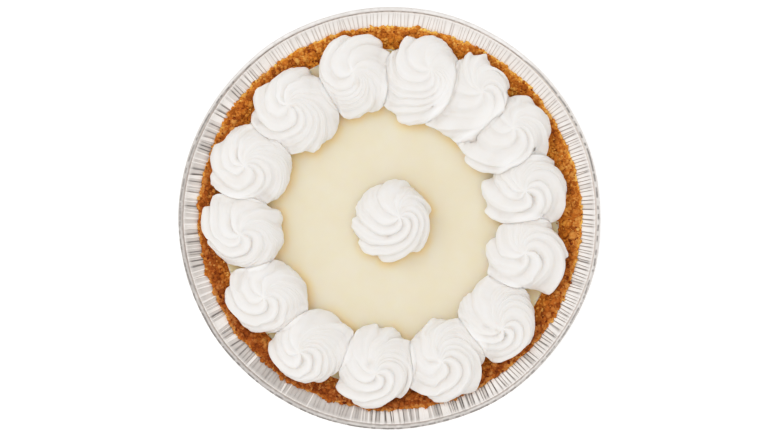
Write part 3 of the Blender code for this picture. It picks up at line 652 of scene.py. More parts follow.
def pleats_of(tin, rng):
    """The wall's pleats by column: its bearing, how far it stands off, how bright it is, and its slant.

    Each pleat is a groove beside a flat land, and the land leans by chance, so its columns stand off the wall
    by the groove's depth or between the land's two heights. Pleats differ in width. They slant along the wall
    by soft noise of the bearing and a little by chance. Groove bottoms are painted dark as shade, some are
    painted bright, and some lands are painted dull: painted reflections.
    """
    count = tin.pleats
    groups = soft_noise(turned(TIN_RADIUS, 0.0, around(count)), 9 * MM, 3)
    widths = rng.uniform(0.7, 1.3, count) * mixed(0.7, 1.3, groups)
    starts = np.concatenate([[0.0], np.cumsum(widths)]) * (2 * math.pi / widths.sum())
    middles = (starts[:-1] + starts[1:]) / 2
    bearings = (starts[:-1, None] + PLEAT_PHASES * np.diff(starts)[:, None]).ravel()
    strength = by_side(PLEAT_SIDES, 1, bearings)

    grooves = np.repeat(-rng.uniform(0.6, 1.0, (count, 1)), GROOVE_POINTS, axis=1)
    first, last = rng.uniform(0.0, 1.0, (count, 2)).T[..., None]
    across = PLEAT_PHASES[GROOVE_POINTS:] - PLEAT_PHASES[GROOVE_POINTS]
    lands = mixed(first, last, across / across[-1])
    folds = np.column_stack([grooves, lands]).ravel() * strength * tin.pleat_depth / 2

    # Painted reflections and shade: dull lands, bright lands, and dark or bright groove bottoms.
    dull = rng.uniform(0, 1, count) < by_side(PLEAT_SIDES, 2, middles)
    land_painted_light = np.where(dull, by_side(PLEAT_SIDES, 3, middles), 1.0) - rng.uniform(0, 0.04, count)
    lines = 1 - rng.uniform(0.75, 1.0, count)
    lines = np.where(rng.uniform(0, 1, count) < by_side(PLEAT_SIDES, 4, middles), 1.0, lines)
    bright = np.where(np.arange(len(PLEAT_PHASES)) < GROOVE_POINTS, lines[:, None], land_painted_light[:, None])
    in_groove = np.tile(np.arange(len(PLEAT_PHASES)) < GROOVE_POINTS, count)
    bright = np.where(in_groove, mixed(0.9, bright.ravel(), strength), bright.ravel())

    askew = np.repeat(rng.uniform(-1, 1, count) * widths / widths.sum() * 2 * math.pi, len(PLEAT_PHASES))
    slants = swell(turned(TIN_RADIUS, 0.0, bearings), 8 * MM, math.radians(4.4), 5) + 0.6 * askew
    return Pleats(bearings, folds, bright, slants)


class TinRings:
    """The foil tin's rings, and how metallic the foil is and how bright it is painted at each of their
    points.
    """

    def __init__(self, pleats):
        self.pleats = pleats
        self.rim = turned(TIN_RADIUS, 0.0, pleats.bearings)
        self.waver = swell(self.rim, 30 * MM, 0.7 * MM, 6)
        self.rings, self.shades, self.metals = [], [], []

    def lay(self, radii, heights, bearings, shades, metal):
        """One ring, with its foil."""
        self.rings.append(turned(radii, heights, bearings))
        self.shades.append(shades)
        self.metals.append(np.full_like(bearings, metal))

    def folded(self, radius, height, share=0.0, along=0.5, rolled=0.0, lean=SIDEWAYS, metal=0.85, shade=1.0):
        """A ring with a share of the folds and of the rim's waver, at a place along the wall."""
        bearings, folds, bright, slants = self.pleats
        crushed = mixed(0.75, 1.2, soft_noise(turned(radius, height, bearings), 3 * MM, 8))
        stand = share * folds * crushed
        leant = bearings + slants * (along - 0.5) * (1 if share else 0)
        outward, upward = math.sin(math.radians(lean)), -math.cos(math.radians(lean))
        # Folded foil takes the pleats' painted brightness: painted reflections and painted shade.
        shades = mixed(PLAIN_SHADE, bright, min(1.0, share * 1.4)) * shade
        radii = radius + stand * outward + rolled * self.waver
        self.lay(radii, height + stand * upward, leant, shades, metal)

    def wall(self, share, outside):
        """One ring of the wall, at a share of its length, on its outer face or its inner one."""
        radii, heights = np.transpose(WALL)
        shares = (0, WALL_BEND, 1)
        slopes = np.degrees(np.arctan2(np.diff(heights), np.diff(radii)))
        lean = mixed(*slopes, ease((share - 0.66) / 0.16))
        sheet, cut, metal = (FOIL, 0.8, 0.85) if outside else (0.0, 1.0, 0.1)
        radius = np.interp(share, shares, radii) + sheet * math.sin(math.radians(lean))
        height = np.interp(share, shares, heights) - sheet * math.cos(math.radians(lean))
        deep = mixed(0.35, 1.0, share) * mixed(0.3, 1.0, ease((1.0 - share) / 0.07)) * cut
        # Painted shade: the inner face is painted darker towards its head.
        lit = 1.0 if outside else mixed(1.0, 0.82, ease((share - 0.8) / 0.2))
        self.folded(radius, height, deep, share, ease(share * 2 - 1), lean, metal, lit)

    def bead(self):
        """The rolled rim: an arc that wavers, with small dents.

        A dark line of painted shade runs round it where BEAD_SIDES says, broken by the dents, and a fainter
        painted line of short dashes runs low on its right side. The dents are painted a little darker or
        lighter.
        """
        bearings = self.pleats.bearings
        dents = swell(self.rim, 1.5 * MM, 2, 7)
        painted_dash_noise = swell(self.rim, 0.9 * MM, 2, 10)
        line_turn = by_side(BEAD_SIDES, 1, bearings) + swell(self.rim, 9 * MM, 26, 9)
        line_depth = by_side(BEAD_SIDES, 2, bearings) * mixed(0.3, 1.0, ease(0.9 + 2 * dents))
        painted_dash_depth = 0.5 * ease(0.5 + 2.5 * painted_dash_noise) * ease(0.3 + np.cos(bearings))
        for turn in BEAD_TURNS:
            across, up = math.cos(math.radians(turn)), math.sin(math.radians(turn))
            radius = BEAD_RADIUS + dents * 0.10 * MM * mixed(0.4, 1.0, abs(across))
            line = line_depth * bell((turn - line_turn) / 28) + painted_dash_depth * bell((turn - 26) / 14)
            bright = PLAIN_SHADE if turn < -40 else by_side(BEAD_SIDES, 3, bearings)
            self.lay(
                TIN_RADIUS - BEAD_RADIUS + radius * across + self.waver,
                TIN_HEIGHT - BEAD_RADIUS + radius * up,
                bearings, bright * (1 - line) + dents * 0.10, 0.85 if turn < 0 else 0.35,
            )


def crimped_tin(tin):
    """The foil tin's rings, and how metallic the foil is and how bright it is painted at each point.

    They run from under the base out and up the wall's outer face, over the bead, and back inside.
    """
    section = TinRings(pleats_of(tin, np.random.default_rng(SEED)))
    section.folded(BASE_RADIUS * 0.5, 0.0)
    section.folded(BASE_RADIUS, 0.0)
    section.folded(mixed(BASE_RADIUS, WALL[0][0], 0.6), CORNER_RISE * 0.3, 0.2, 0.0)
    for share in np.linspace(0, 1, 9):
        section.wall(share, outside=True)
    section.bead()
    section.folded(WALL[2][0] + 0.35 * MM, WALL[2][1] - 0.05 * MM, 0.2, 1.0, 1.0, metal=0.3)
    for share in INNER_SHARES:
        section.wall(share, outside=False)
    section.folded(BASE_RADIUS, FOIL)
    section.folded(BASE_RADIUS * 0.5, FOIL)
    shades, metals = (
        np.concatenate([[1.0], np.ravel(values), [1.0]]) for values in (section.shades, section.metals)
    )
    return np.array(section.rings), shades, metals


def wall_radius(height):
    """Radius of the wall's inner face at a height, between its pleats."""
    return np.interp(height, [bend[1] for bend in WALL], [bend[0] for bend in WALL])


# ---- The crust and the filling ----


def top_height(radius):
    """Height of what the cream lies on: the filling's level, then up by ease to the crest and down again."""
    rise = ease((radius - FILLING_RADIUS) / (CRUST_CREST_RADIUS - FILLING_RADIUS))
    fall = ease((radius - CRUST_CREST_RADIUS) / (CRUST_EDGE_RADIUS - CRUST_CREST_RADIUS))
    crest = FILLING_LEVEL + (CRUST_CREST_HEIGHT - FILLING_LEVEL) * rise
    return crest - (CRUST_CREST_HEIGHT - CRUST_EDGE_HEIGHT) * fall


# The grains of the crust's crest: size and height in millimetres, the noise's salt, and how much each kind
# counts in the shade.
GRAINS = ((4.6, 0.7, 31, 0.25), (2.4, 0.45, 41, 0.40), (1.3, 0.2, 51, 0.35))
PALEST_SIDE = math.radians(70)  # bearing of the side on which the crust is palest
# The painted shadow on the filling lies on this side of each rosette.
SHADED_SIDE = math.radians(-40)  # bearing of the side away from the window


def held_in(points):
    """Points of the crust, with those that would pass through the tin's wall moved in to its inner face."""
    out = np.hypot(points[..., 0], points[..., 1])
    held = points.copy()
    held[..., :2] *= np.minimum(1, (wall_radius(points[..., 2]) - TOUCH / 3) / out)[..., None]
    return held


def crest_points(bearings, shares):
    """The crust's broken crest, at shares of its width from the tin inwards.

    Its edge strays up and down the tin's wall by soft noise. Over the smooth crest stand grains of three
    sizes: each is a dome, one less the square of the distance from its seed, as tall as its own number says.
    Also gives each point's shade, from its grain's number, with painted shade in the cracks between grains.
    """
    rim = turned(wall_radius(BROKEN_EDGE_HEIGHT), BROKEN_EDGE_HEIGHT, bearings)
    stray = swell(rim, 7 * MM, 1.4 * MM, 21) + swell(rim, 2.2 * MM, 1.1 * MM, 22)
    edge = wall_radius(BROKEN_EDGE_HEIGHT + stray) - 0.1 * MM
    radii = mixed(edge, FILLING_RADIUS - 0.8 * MM, shares)
    rise = ease((radii - FILLING_RADIUS) / (CRUST_CREST_RADIUS - FILLING_RADIUS))
    heights = mixed(FILLING_LEVEL, CRUST_CREST_HEIGHT, rise) + stray * ease(1 - shares / 0.35) - 0.5 * MM
    smooth = turned(radii, heights, bearings)
    smooth[..., 2] += swell(smooth, 6 * MM, 1.2 * MM, 23)
    relief = np.zeros(smooth.shape[:-1])
    shade = np.zeros_like(relief)
    for size, tall, salt, weight in GRAINS:
        nearest, second, number = grains(smooth, size * MM, salt)
        mound = np.clip(1 - (nearest / 0.75) ** 2, 0, 1)
        crack = mixed(0.35, 1.0, ease((second - nearest) / 0.25))
        relief += tall * MM * ((0.25 + 0.75 * number) * mound * crack)
        # Painted shade: darker in the cracks between grains.
        shade += weight * mixed(0.2, 0.95, number) * mixed(0.7, 1.0, crack)
    smooth[..., 2] += relief * mixed(0.5, 1.0, ease(shares / 0.1)) * ease((1 - shares) / 0.06)
    return held_in(smooth), shade + swell(smooth, 9 * MM, 0.2, 24) + 0.4 * bell(shares / 0.2) - 0.1


def bake_at(points):
    """How light the crust is: a cosine about its palest side, with patches of soft noise.

    It is also paler by ease beside the tin, and paler inwards by ease as painted light against the cream's
    shade.
    """
    out = np.hypot(points[..., 0], points[..., 1])
    # Painted light: paler inwards, lifting the shade that the cream casts on the crust beside it.
    inwards = ease((CRUST_CREST_RADIUS - out) / (8 * MM))
    edge = ease((out - wall_radius(points[..., 2]) + 2.4 * MM) / (2.2 * MM))
    patches = swell(points, 16 * MM, 0.10, 61)
    return 0.91 + 0.23 * np.cos(bearing_of(points) - PALEST_SIDE) + patches + 0.27 * inwards + 0.38 * edge


def crumb_crust(crust):
    """The crust's rings, and a shade for each point. It is smooth beside the tin and under the filling."""
    bearings = around(crust.columns)
    inset = 0.5 * MM
    foot_height = WALL[0][1] + TOUCH
    low_height = 0.019  # from here up the crust closes in on the tin's wall
    hidden = [
        turned(BASE_RADIUS - inset, FOIL + TOUCH, bearings),
        turned(wall_radius(foot_height) - inset, foot_height, bearings),
        turned(wall_radius(low_height) - inset, low_height, bearings),
    ]
    crest, shade = crest_points(bearings, np.linspace(0, 1, crust.rows)[:, None])
    inner = [
        turned(FILLING_RADIUS - 1.6 * MM, FILLING_LEVEL - 2 * MM, bearings),
        turned(CRUST_FOOT_RADIUS, CRUST_FLOOR, bearings),
    ]
    padded = np.pad(shade, ((len(hidden), len(inner)), (0, 0)), "edge")
    return np.concatenate([hidden, crest, inner]), np.concatenate([[0.5], padded.ravel(), [0.5]])


# The corners and the faces of a regular solid of twenty triangles, with a radius of one.
PHI = (1 + math.sqrt(5)) / 2
LUMP_CORNERS = np.array([
    (-1, PHI, 0), (1, PHI, 0), (-1, -PHI, 0), (1, -PHI, 0), (0, -1, PHI), (0, 1, PHI),
    (0, -1, -PHI), (0, 1, -PHI), (PHI, 0, -1), (PHI, 0, 1), (-PHI, 0, -1), (-PHI, 0, 1),
]) / math.hypot(1, PHI)
LUMP_FACES = np.array([
    (0, 11, 5), (0, 5, 1), (0, 1, 7), (0, 7, 10), (0, 10, 11), (1, 5, 9), (5, 11, 4), (11, 10, 2), (10, 7, 6),
    (7, 1, 8), (3, 9, 4), (3, 4, 2), (3, 2, 6), (3, 6, 8), (3, 8, 9), (4, 9, 5), (2, 4, 11), (6, 2, 10),
    (8, 6, 7), (9, 8, 1),
])


def turns_by_chance(count, rng):
    """Rotation matrices from unit quaternions drawn evenly."""
    w, x, y, z = np.moveaxis(rng.normal(size=(count, 4)), 1, 0)
    w, x, y, z = np.array([w, x, y, z]) / np.sqrt(w * w + x * x + y * y + z * z)
    return np.stack([
        1 - 2 * (y * y + z * z), 2 * (x * y - z * w), 2 * (x * z + y * w),
        2 * (x * y + z * w), 1 - 2 * (x * x + z * z), 2 * (y * z - x * w),
        2 * (x * z - y * w), 2 * (y * z + x * w), 1 - 2 * (x * x + y * y),
    ], axis=-1).reshape(count, 3, 3)


def crumbs(count, smallest, largest, rng):
    """Many small lumps on the crust's crest, as points and faces, with a shade for each point.

    A lump is a ball of twenty faces whose corners go in and out by chance, stretched, turned and sunk a
    little. Radii are drawn between the smallest and the largest, in millimetres, small ones more often.
    """
    bearings = rng.uniform(0, 2 * math.pi, count)
    places, ground = crest_points(bearings, rng.uniform(0, 1, count))
    clear = clear_of_cream(places)
    places, ground = places[clear], ground[clear]
    count = len(places)
    radii = mixed(smallest, largest, rng.uniform(0, 1, count) ** 2.2) * MM
    places[:, 2] += radii * rng.uniform(-0.8, 0.1, count)
    rough = 1 + rng.uniform(-0.22, 0.22, (count, len(LUMP_CORNERS), 1))
    stretch = rng.uniform(0.6, 1.25, (count, 1, 3))
    lumps = LUMP_CORNERS * rough * stretch * radii[:, None, None]
    lumps = np.einsum("nij,nkj->nki", turns_by_chance(count, rng), lumps) + places[:, None, :]
    faces = LUMP_FACES + (np.arange(count) * len(LUMP_CORNERS))[:, None, None]
    shade = np.repeat(mixed(ground, rng.uniform(0, 1, count), 0.45), len(LUMP_CORNERS))
    return held_in(lumps.reshape(-1, 3)), faces.reshape(-1, 3), shade


def clear_of_cream(places):
    """Whether each place is clear of the ring of cream, which hides what is under it."""
    clear = np.ones(len(places), bool)
    for rosette in RING:
        apart = np.linalg.norm(places[:, :2] - middle_of(rosette), axis=1)
        clear &= apart > rosette.radius * 0.86
    return clear


def filling_rings(filling):
    """The filling's rings: level on top, with faint swells and an edge that creeps up the crust."""
    bearings = around(filling.columns)
    knee = 12 * MM
    slope = (FILLING_RADIUS - CRUST_FOOT_RADIUS) / (FILLING_LEVEL - CRUST_FLOOR)
    rings = [
        turned(CRUST_FOOT_RADIUS - TOUCH, CRUST_FLOOR + TOUCH, bearings),
        turned(CRUST_FOOT_RADIUS + slope * knee - TOUCH, CRUST_FLOOR + knee, bearings),
    ]
    radii = (FILLING_RADIUS - 0.6 * MM) * np.linspace(1, 0.02, filling.rows)[:, None]
    top = turned(radii, FILLING_LEVEL, bearings)
    creep = 0.35 * MM * np.exp((radii - radii[0]) / (1.2 * MM))
    top[..., 2] += creep + swell(top, 22 * MM, 0.35 * MM, 71) + swell(top, 5 * MM, 0.07 * MM, 72)
    return np.concatenate([rings, top])


def warmth_at(points):
    """How much painted warm shadow each place gets close beside the cream, on the side away from the key
    light.

    For each rosette it is a bell of the distance beyond the outline, and the strongest counts.
    """
    warmth = np.zeros(len(points))
    for rosette in (*RING, CENTRE):
        away = points[:, :2] - middle_of(rosette)
        distance = np.linalg.norm(away, axis=1)
        side = away @ heading(SHADED_SIDE) / np.maximum(distance, 1e-9)
        beyond = np.maximum(distance - outline_at(rosette, bearing_of(away)), 0)
        warmth = np.maximum(warmth, bell(beyond / (3.2 * MM)) * ease(0.55 + 0.6 * side))
    return warmth


# ---- The cream ----

TOP_ROWS = 64
SKIRT_ROWS = 9
ARM_COLUMNS = 26
TIP_GAP = 0.02  # how near the tip the last ring is
TWIST_POWER = 1.3  # the arms turn by one less the age to this power
USUAL_ARM = math.radians(38)  # width of an arm whose valleys have their full depth
DRAG_MARKS = 3  # fine marks that the nozzle drags along each arm

Arms = namedtuple("Arms", "share width column deep outer drag")


def middle_of(rosette):
    """Place in plan of a rosette's widest ring."""
    return rosette.distance * heading(math.radians(rosette.bearing))


def outline_at(rosette, bearings):
    """Radius of a rosette's outline at each bearing, between its corners and notches in proportion."""
    x, y = np.transpose(rosette.outline) * MM
    return np.interp(bearings, np.arctan2(y, x), np.hypot(x, y), period=2 * math.pi)


def nozzle_place(rosette, age):
    """Place in plan of the nozzle at each age: part of a circle, drawn over to the widest ring's middle.

    Age is 0 at the tip and 1 at the widest ring.
    """
    tip = middle_of(rosette) + np.array([rosette.tip_x, rosette.tip_y])
    end, turn = math.radians(rosette.broad + NOZZLE_END), math.radians(NOZZLE_TURN)
    circle = NOZZLE_CIRCLE * (heading(end - turn * age) - heading(end))
    closing = NOZZLE_CIRCLE * (heading(end - turn) - heading(end))
    return tip + circle + (middle_of(rosette) - tip - closing) * age[..., None] ** 2


def dome(age):
    """Height of the ring of this age, as a share of the rosette's height: a blunt dome over the skirt."""
    return SKIRT_SHARE + (1 - SKIRT_SHARE) * (1 - age**1.9) ** 0.6


def ridge(share):
    """Height of one arm across its width: a sine, its crest past the middle and its valleys sharp."""
    return np.sin(math.pi * share**1.3) ** 1.1


def surface_of(rosette, plan):
    """Height of a rosette's smooth top over the filling at places in plan, and the age of the ring there.

    The age is the distance from the nozzle's place over the outline's distance. It is worked out again and
    again, with the nozzle's place at the age before.
    """
    age = np.ones(plan.shape[:-1])
    for _ in range(AGE_STEPS):
        away = plan - nozzle_place(rosette, np.minimum(age, 1))
        age = np.hypot(away[..., 0], away[..., 1]) / outline_at(rosette, bearing_of(away))
    return dome(np.minimum(age, 1)) * rosette.height, age


def met(points, neighbour):
    """Points of a rosette where it meets its neighbour, and how close each one is to the seam, from 0 to 1.

    The seam is where both are as high. Cream fills the groove along it: both rise by the closeness, which is
    an exponential of minus their difference in height, less near the foot and away from the neighbour. The
    lower one of the two runs on under the other.
    """
    top, age = surface_of(neighbour, points[..., :2])
    height = points[..., 2] - FILLING_LEVEL - TOUCH
    near = ease(height / (3 * MM)) * ease((SEAM_REACH - age) / 0.25)
    close = near * np.exp(-np.abs(height - top) / SEAM_FADE)
    moved = points.copy()
    moved[..., 2] += SEAM_RISE * close
    return moved, close


def dented(points, rosette, dents):
    """Points lowered in the hollows: in each, by a bell along it times a bell across it."""
    lowered = points.copy()
    for x, y, wide, long, turn, depth in dents:
        away = points[..., :2] - middle_of(rosette) - np.array([x, y]) * MM
        along = away @ heading(math.radians(turn)) / (long * MM)
        across = away @ heading(math.radians(turn + 90)) / (wide * MM)
        lowered[..., 2] -= depth * MM * bell(along) * bell(across)
    return lowered


def lifted(points):
    """Points raised so that their lowest layer lies on the filling and the crust, and the tips stay."""
    out = np.hypot(points[..., 0], points[..., 1])
    fade = np.clip(1 - (points[..., 2] - FILLING_LEVEL - TOUCH) / LIFT_FADE, 0, 1)
    raised = points.copy()
    raised[..., 2] += (top_height(out) - FILLING_LEVEL) * fade
    return raised


def normals_of(points):
    """Unit normals of a grid that closes round its columns, from the cross product of its two slopes."""
    along = np.gradient(points, axis=0)
    across = np.roll(points, -1, axis=1) - np.roll(points, 1, axis=1)
    normals = np.cross(across, along)
    return normals / np.maximum(np.linalg.norm(normals, axis=-1, keepdims=True), 1e-12)


def arms_of(rosette, rng):
    """A rosette's arms by column: the share of the arm's width, its whole width and the column's bearing.

    Also how deep the valleys beside it are, how much of that is left near the outline, and the marks that
    the nozzle dragged.
    """
    valleys, depths = np.array([*rosette.valleys, rosette.valleys[0]], float).T
    valleys[-1] += 360
    valleys, depths = np.radians(valleys), depths / DEEPEST
    count = len(rosette.valleys)
    place = np.arange(count * ARM_COLUMNS) / ARM_COLUMNS
    arm = place.astype(int)
    share = place - arm
    width = np.diff(valleys)[arm]
    wane = rng.uniform(0.35, 0.8, count + 1)
    phase = rng.uniform(0, 1, count)[arm]
    return Arms(
        share, width, valleys[arm] + share * width,
        deep=mixed(depths[arm], depths[arm + 1], share),
        outer=mixed(wane[arm], wane[arm + 1], share),
        drag=np.sin(2 * math.pi * (DRAG_MARKS * share + phase)),
    )


def standing(plan, heights):
    """Points at places in plan, with a height for each ring or for each place."""
    heights = np.broadcast_to(heights, plan.shape[:-1])
    return np.concatenate([plan, heights[..., None]], axis=-1)


def free_rings(rosette, arms, cream):
    """A rosette's smooth rings as if it stood alone, with each ring's age and each point's bearing.

    A ring is a circle about the nozzle's place at its age. Each arm keeps its columns from ring to ring, and
    they turn clockwise outwards by the twist. Rings take on the outline by the square of the age. The skirt
    goes down from the widest ring as a quarter of an ellipse.
    """
    reach = outline_at(rosette, arms.column) / rosette.radius - 1
    lean = cream.lean * arms.width * ridge(arms.share) * arms.share**2
    age = np.sin(math.pi / 2 * np.linspace(1, TIP_GAP, TOP_ROWS))[:, None] ** 0.9
    twist = np.radians(cream.twist - cream.twist_swing * np.cos(arms.column - math.radians(rosette.broad)))
    bearing = arms.column + lean * (1 - age**4) + twist * (1 - age**TWIST_POWER)
    straying = swell(turned(rosette.radius * age, 0.05 * rosette.bearing, bearing), 8 * MM, cream.stray, 83)
    bearing = bearing + straying * age * (1 - age**4)
    out = rosette.radius * age * (1 + reach * age**2)
    nub = 0.9 * MM * bell(age / 0.09)
    top_plan = nozzle_place(rosette, age) + out[..., None] * heading(bearing)
    top = standing(top_plan, dome(age) * rosette.height + nub)

    fall = np.linspace(1, 0, SKIRT_ROWS, endpoint=False)[:, None]
    skirt_age = np.ones_like(fall)
    skirt_bearing = np.broadcast_to(arms.column, (SKIRT_ROWS, arms.column.size))
    skirt_out = rosette.radius * (0.93 + 0.07 * np.sqrt(1 - fall**2)) * (1 + reach)
    skirt_plan = nozzle_place(rosette, skirt_age) + skirt_out[..., None] * heading(skirt_bearing)
    skirt = standing(skirt_plan, SKIRT_SHARE * rosette.height * (1 - fall))

    rings = np.concatenate([skirt, top])
    rings[..., 2] += FILLING_LEVEL + TOUCH
    return rings, np.concatenate([skirt_age, age]), np.concatenate([skirt_bearing, bearing])


def valley_depth(rosette, label, arms, ages, bearings, plan, cream):
    """How deep the valleys are at each point, under the arms' crests.

    A valley has one depth near the tip and another near the outline. It is shallower on the broad side, at
    the tip and on the skirt, and deeper in a slit and where arms crowd together.
    """
    broad = math.radians(rosette.broad)
    side = 1 - cream.flattening * (1 + np.cos(bearings - broad)) / 2
    valley = arms.deep * mixed(1.0, arms.outer, ease((ages - 0.4) / 0.5)) * side
    for x, y, long, gain in SLITS.get(label, ()):
        away = (plan - middle_of(rosette) - np.array([x, y]) * MM) / (long * MM)
        valley = valley * (1 + (gain - 1) * np.exp(-(away**2).sum(axis=-1)))
    crowding = 1 + math.radians(cream.twist_swing) * np.sin(arms.column - broad) * (1 - ages**TWIST_POWER)
    envelope = np.minimum(1, ages / 0.3) * (1 - 0.3 * ages**3 - 0.5 * ages**12) * crowding
    return cream.relief * envelope * valley * np.sqrt(arms.width / USUAL_ARM)


def rosette_rings(rosette, label, neighbours, cream, rng):
    """A rosette's rings, from under its skirt up to its tip, and how close each point is to a seam.

    The smooth rings meet their neighbours and are lifted onto the crust. Valleys, lumps and drag marks then
    go into them along their normals, less so beside a seam, and the hollows are sunk last.
    """
    arms = arms_of(rosette, rng)
    free, ages, bearings = free_rings(rosette, arms, cream)
    smooth, joined = free, np.zeros(free.shape[:-1])
    for neighbour in neighbours:
        smooth, close = met(smooth, neighbour)
        joined = np.maximum(joined, close)
    smooth = lifted(smooth)
    depth = valley_depth(rosette, label, arms, ages, bearings, smooth[..., :2], cream)
    valleys = depth * (1 - ridge(arms.share))
    lumps = swell(free, 6 * MM, 0.9 * MM, 81) + swell(free, 2.4 * MM, 0.22 * MM, 82)
    bulge = 0.4 * MM * ages * (1 - ages**8)
    stand = arms.drag * 0.14 * MM * ages + lumps * ages - valleys + bulge
    shaped = smooth + normals_of(smooth) * (stand * (1 - SEAM_CALM * joined))[..., None]
    return dented(shaped, rosette, DENTS.get(label, ())), joined


def rosette_grid(rosette, label, neighbours, cream, rng):
    """A rosette's closed grid: its rings, a foot under its middle and its tip.

    Also how close each point is to a seam.
    """
    rings, joined = rosette_rings(rosette, label, neighbours, cream, rng)
    tip = rings[-1].mean(axis=0) + (0, 0, 0.15 * MM)
    foot = np.array([*middle_of(rosette), FILLING_LEVEL + TOUCH])
    under_skirt = mixed(foot, rings[0], 0.6)
    joined = np.concatenate([[0], joined[0], joined.ravel(), [0]])
    return closed_grid(np.concatenate([[under_skirt], rings]), foot, tip), joined


# ---- The add-on ----


def length(name, description, default):
    """A property that holds a length."""
    return bpy.props.FloatProperty(name=name, description=description, default=default, unit="LENGTH")


def plain_number(name, description, default):
    """A property that holds a plain number."""
    return bpy.props.FloatProperty(name=name, description=description, default=default)


def whole_number(name, description, default, least=0):
    """A property that holds a whole number."""
    return bpy.props.IntProperty(name=name, description=description, default=default, min=least)


def factor(name, description, default):
    """A property that holds a share from 0 to 1."""
    return bpy.props.FloatProperty(
        name=name, description=description, default=default, min=0.0, max=1.0, subtype="FACTOR"
    )


def colour(name, description, default):
    """A property that holds a colour."""
    return bpy.props.FloatVectorProperty(
        name=name, description=description, default=default, size=3, min=0.0, max=1.0, subtype="COLOR"
    )


class TinSettings(bpy.types.PropertyGroup):
    """Sizes and finish of the foil tin."""

    pleats: whole_number("Pleats", "Pleats round the wall", 330, 24)
    pleat_depth: length("Pleat depth", "From the bottom of a groove to the top of a land", 0.0008)
    # The foil's own bright colour, with a warm tint that is painted reflection of the crust and cream.
    colour: colour("Foil", "Colour of the bright foil", (1.0, 0.955, 0.92))
    roughness: factor("Roughness", "How dull the foil is", 0.32)


class CrustSettings(bpy.types.PropertyGroup):
    """Sizes and colours of the crumb crust."""

    columns: whole_number("Columns", "Columns of the mesh", 1500, 48)
    rows: whole_number("Rows", "Rows over the crest", 40, 6)
    loose: whole_number("Crumbs", "Golden crumbs before those under the cream are left out", 6500)
    dark: colour("Dark", "Colour of the darkest crumbs", (0.160, 0.024, 0.0015))
    middle: colour("Golden", "Colour of most crumbs", (0.46, 0.133, 0.0135))
    light: colour("Pale", "Colour of the palest crumbs", (0.66, 0.34, 0.085))


class FillingSettings(bpy.types.PropertyGroup):
    """Sizes and finish of the filling."""

    columns: whole_number("Columns", "Columns of the mesh", 300, 24)
    rows: whole_number("Rows", "Rows over the top", 90, 4)
    colour: colour("Custard", "Colour of the set filling", (0.700, 0.635, 0.495))
    # The colour of the painted warm shadow on the filling close beside the cream.
    warm: colour("Warm custard", "Colour of the filling close beside the cream", (0.745, 0.575, 0.310))
    roughness: factor("Roughness", "How dull the skin is", 0.42)


class CreamSettings(bpy.types.PropertyGroup):
    """Form and finish of the piped cream."""

    relief: length("Relief", "Height of an arm over its valleys", 0.0020)
    twist: plain_number("Twist", "Turn of an arm, in degrees", 118.0)
    twist_swing: plain_number("Twist swing", "How many degrees less arms turn on the broad side", 45.0)
    stray: factor("Stray", "How far arms stray from their curves, in radians", 0.8)
    lean: factor("Lean", "How far an arm leans over the valley outside it", 0.12)
    flattening: factor("Flattening", "How much shallower valleys are on the broad side", 0.45)
    colour: colour("Cream", "Colour of the whipped cream", (0.745, 0.725, 0.705))
    # The seam colour is painted light along the seams between rosettes.
    seam: colour("Seam", "Colour of the cream beside a seam", (0.90, 0.885, 0.87))
    roughness: factor("Roughness", "How dull the cream is", 0.55)


class StageSettings(bpy.types.PropertyGroup):
    """The floor, the light and the camera."""

    floor: colour("Floor", "Colour of the floor", (0.92, 0.92, 0.92))
    glow: factor("Glow", "Light that the floor gives by itself", 0.45)
    sky: plain_number("Sky", "Strength of the light all round", 1.22)
    key: plain_number("Key", "Power of the large soft light", 4.8)
    eye_height: length("Eye height", "Height of the camera above the rim", 2.2)
    view_width: length("View width", "Width that the picture takes in at the rim", 0.4220)


class PIE_OT_foil_tin(bpy.types.Operator):
    """Add the crimped foil tin"""

    bl_idname = "pie.foil_tin"
    bl_label = "Foil Tin"

    def execute(self, context):
        tin = context.scene.pie_tin
        rings, shade, metal = crimped_tin(tin)
        grid = closed_grid(rings, (0, 0, 0), (0, 0, FOIL))
        mesh_piece(
            "crimped_foil_tin", grid, foil_finish(tin), "foil", ["foil_tin"],
            sharp=32, shade=shade, metal=metal,
        )
        return {"FINISHED"}


class PIE_OT_crust(bpy.types.Operator):
    """Add the pressed crumb crust"""

    bl_idname = "pie.crust"
    bl_label = "Crumb Crust"

    def execute(self, context):
        crust = context.scene.pie_crust
        rings, shade = crumb_crust(crust)
        grid = closed_grid(rings, (0, 0, FOIL + TOUCH), (0, 0, CRUST_FLOOR))
        finish = crumb_finish("pressed_crumbs", tuple(crust.dark), tuple(crust.middle), tuple(crust.light))
        mesh_piece(
            "pressed_crust", grid, finish, "crust", ["crumb_crust"], shade=shade, bake=bake_at(grid[0])
        )
        return {"FINISHED"}


class PIE_OT_crumbs(bpy.types.Operator):
    """Scatter loose crumbs over the crust's crest"""

    bl_idname = "pie.crumbs"
    bl_label = "Loose Crumbs"

    def execute(self, context):
        crust = context.scene.pie_crust
        dark, middle, light = tuple(crust.dark), tuple(crust.middle), tuple(crust.light)
        # A kind's name, its share of the number, its smallest and largest radius in millimetres, and its
        # colours.
        kinds = (
            ("golden_crumbs", 1.0, (0.55, 2.20), (dark, middle, light)),
            ("brown_crumbs", 0.12, (0.45, 1.30), (dark, dark, middle)),
            ("pale_crumbs", 0.10, (0.50, 1.40), (middle, light, light)),
        )
        for number, (name, share, sizes, colours) in enumerate(kinds):
            rng = np.random.default_rng(SEED + 10 + number)
            points, faces, shade = crumbs(int(crust.loose * share), *sizes, rng)
            grid = (points, np.zeros((0, 4)), faces)
            mesh_piece(name, grid, crumb_finish(name, *colours), "crust", shade=shade, bake=bake_at(points))
        return {"FINISHED"}


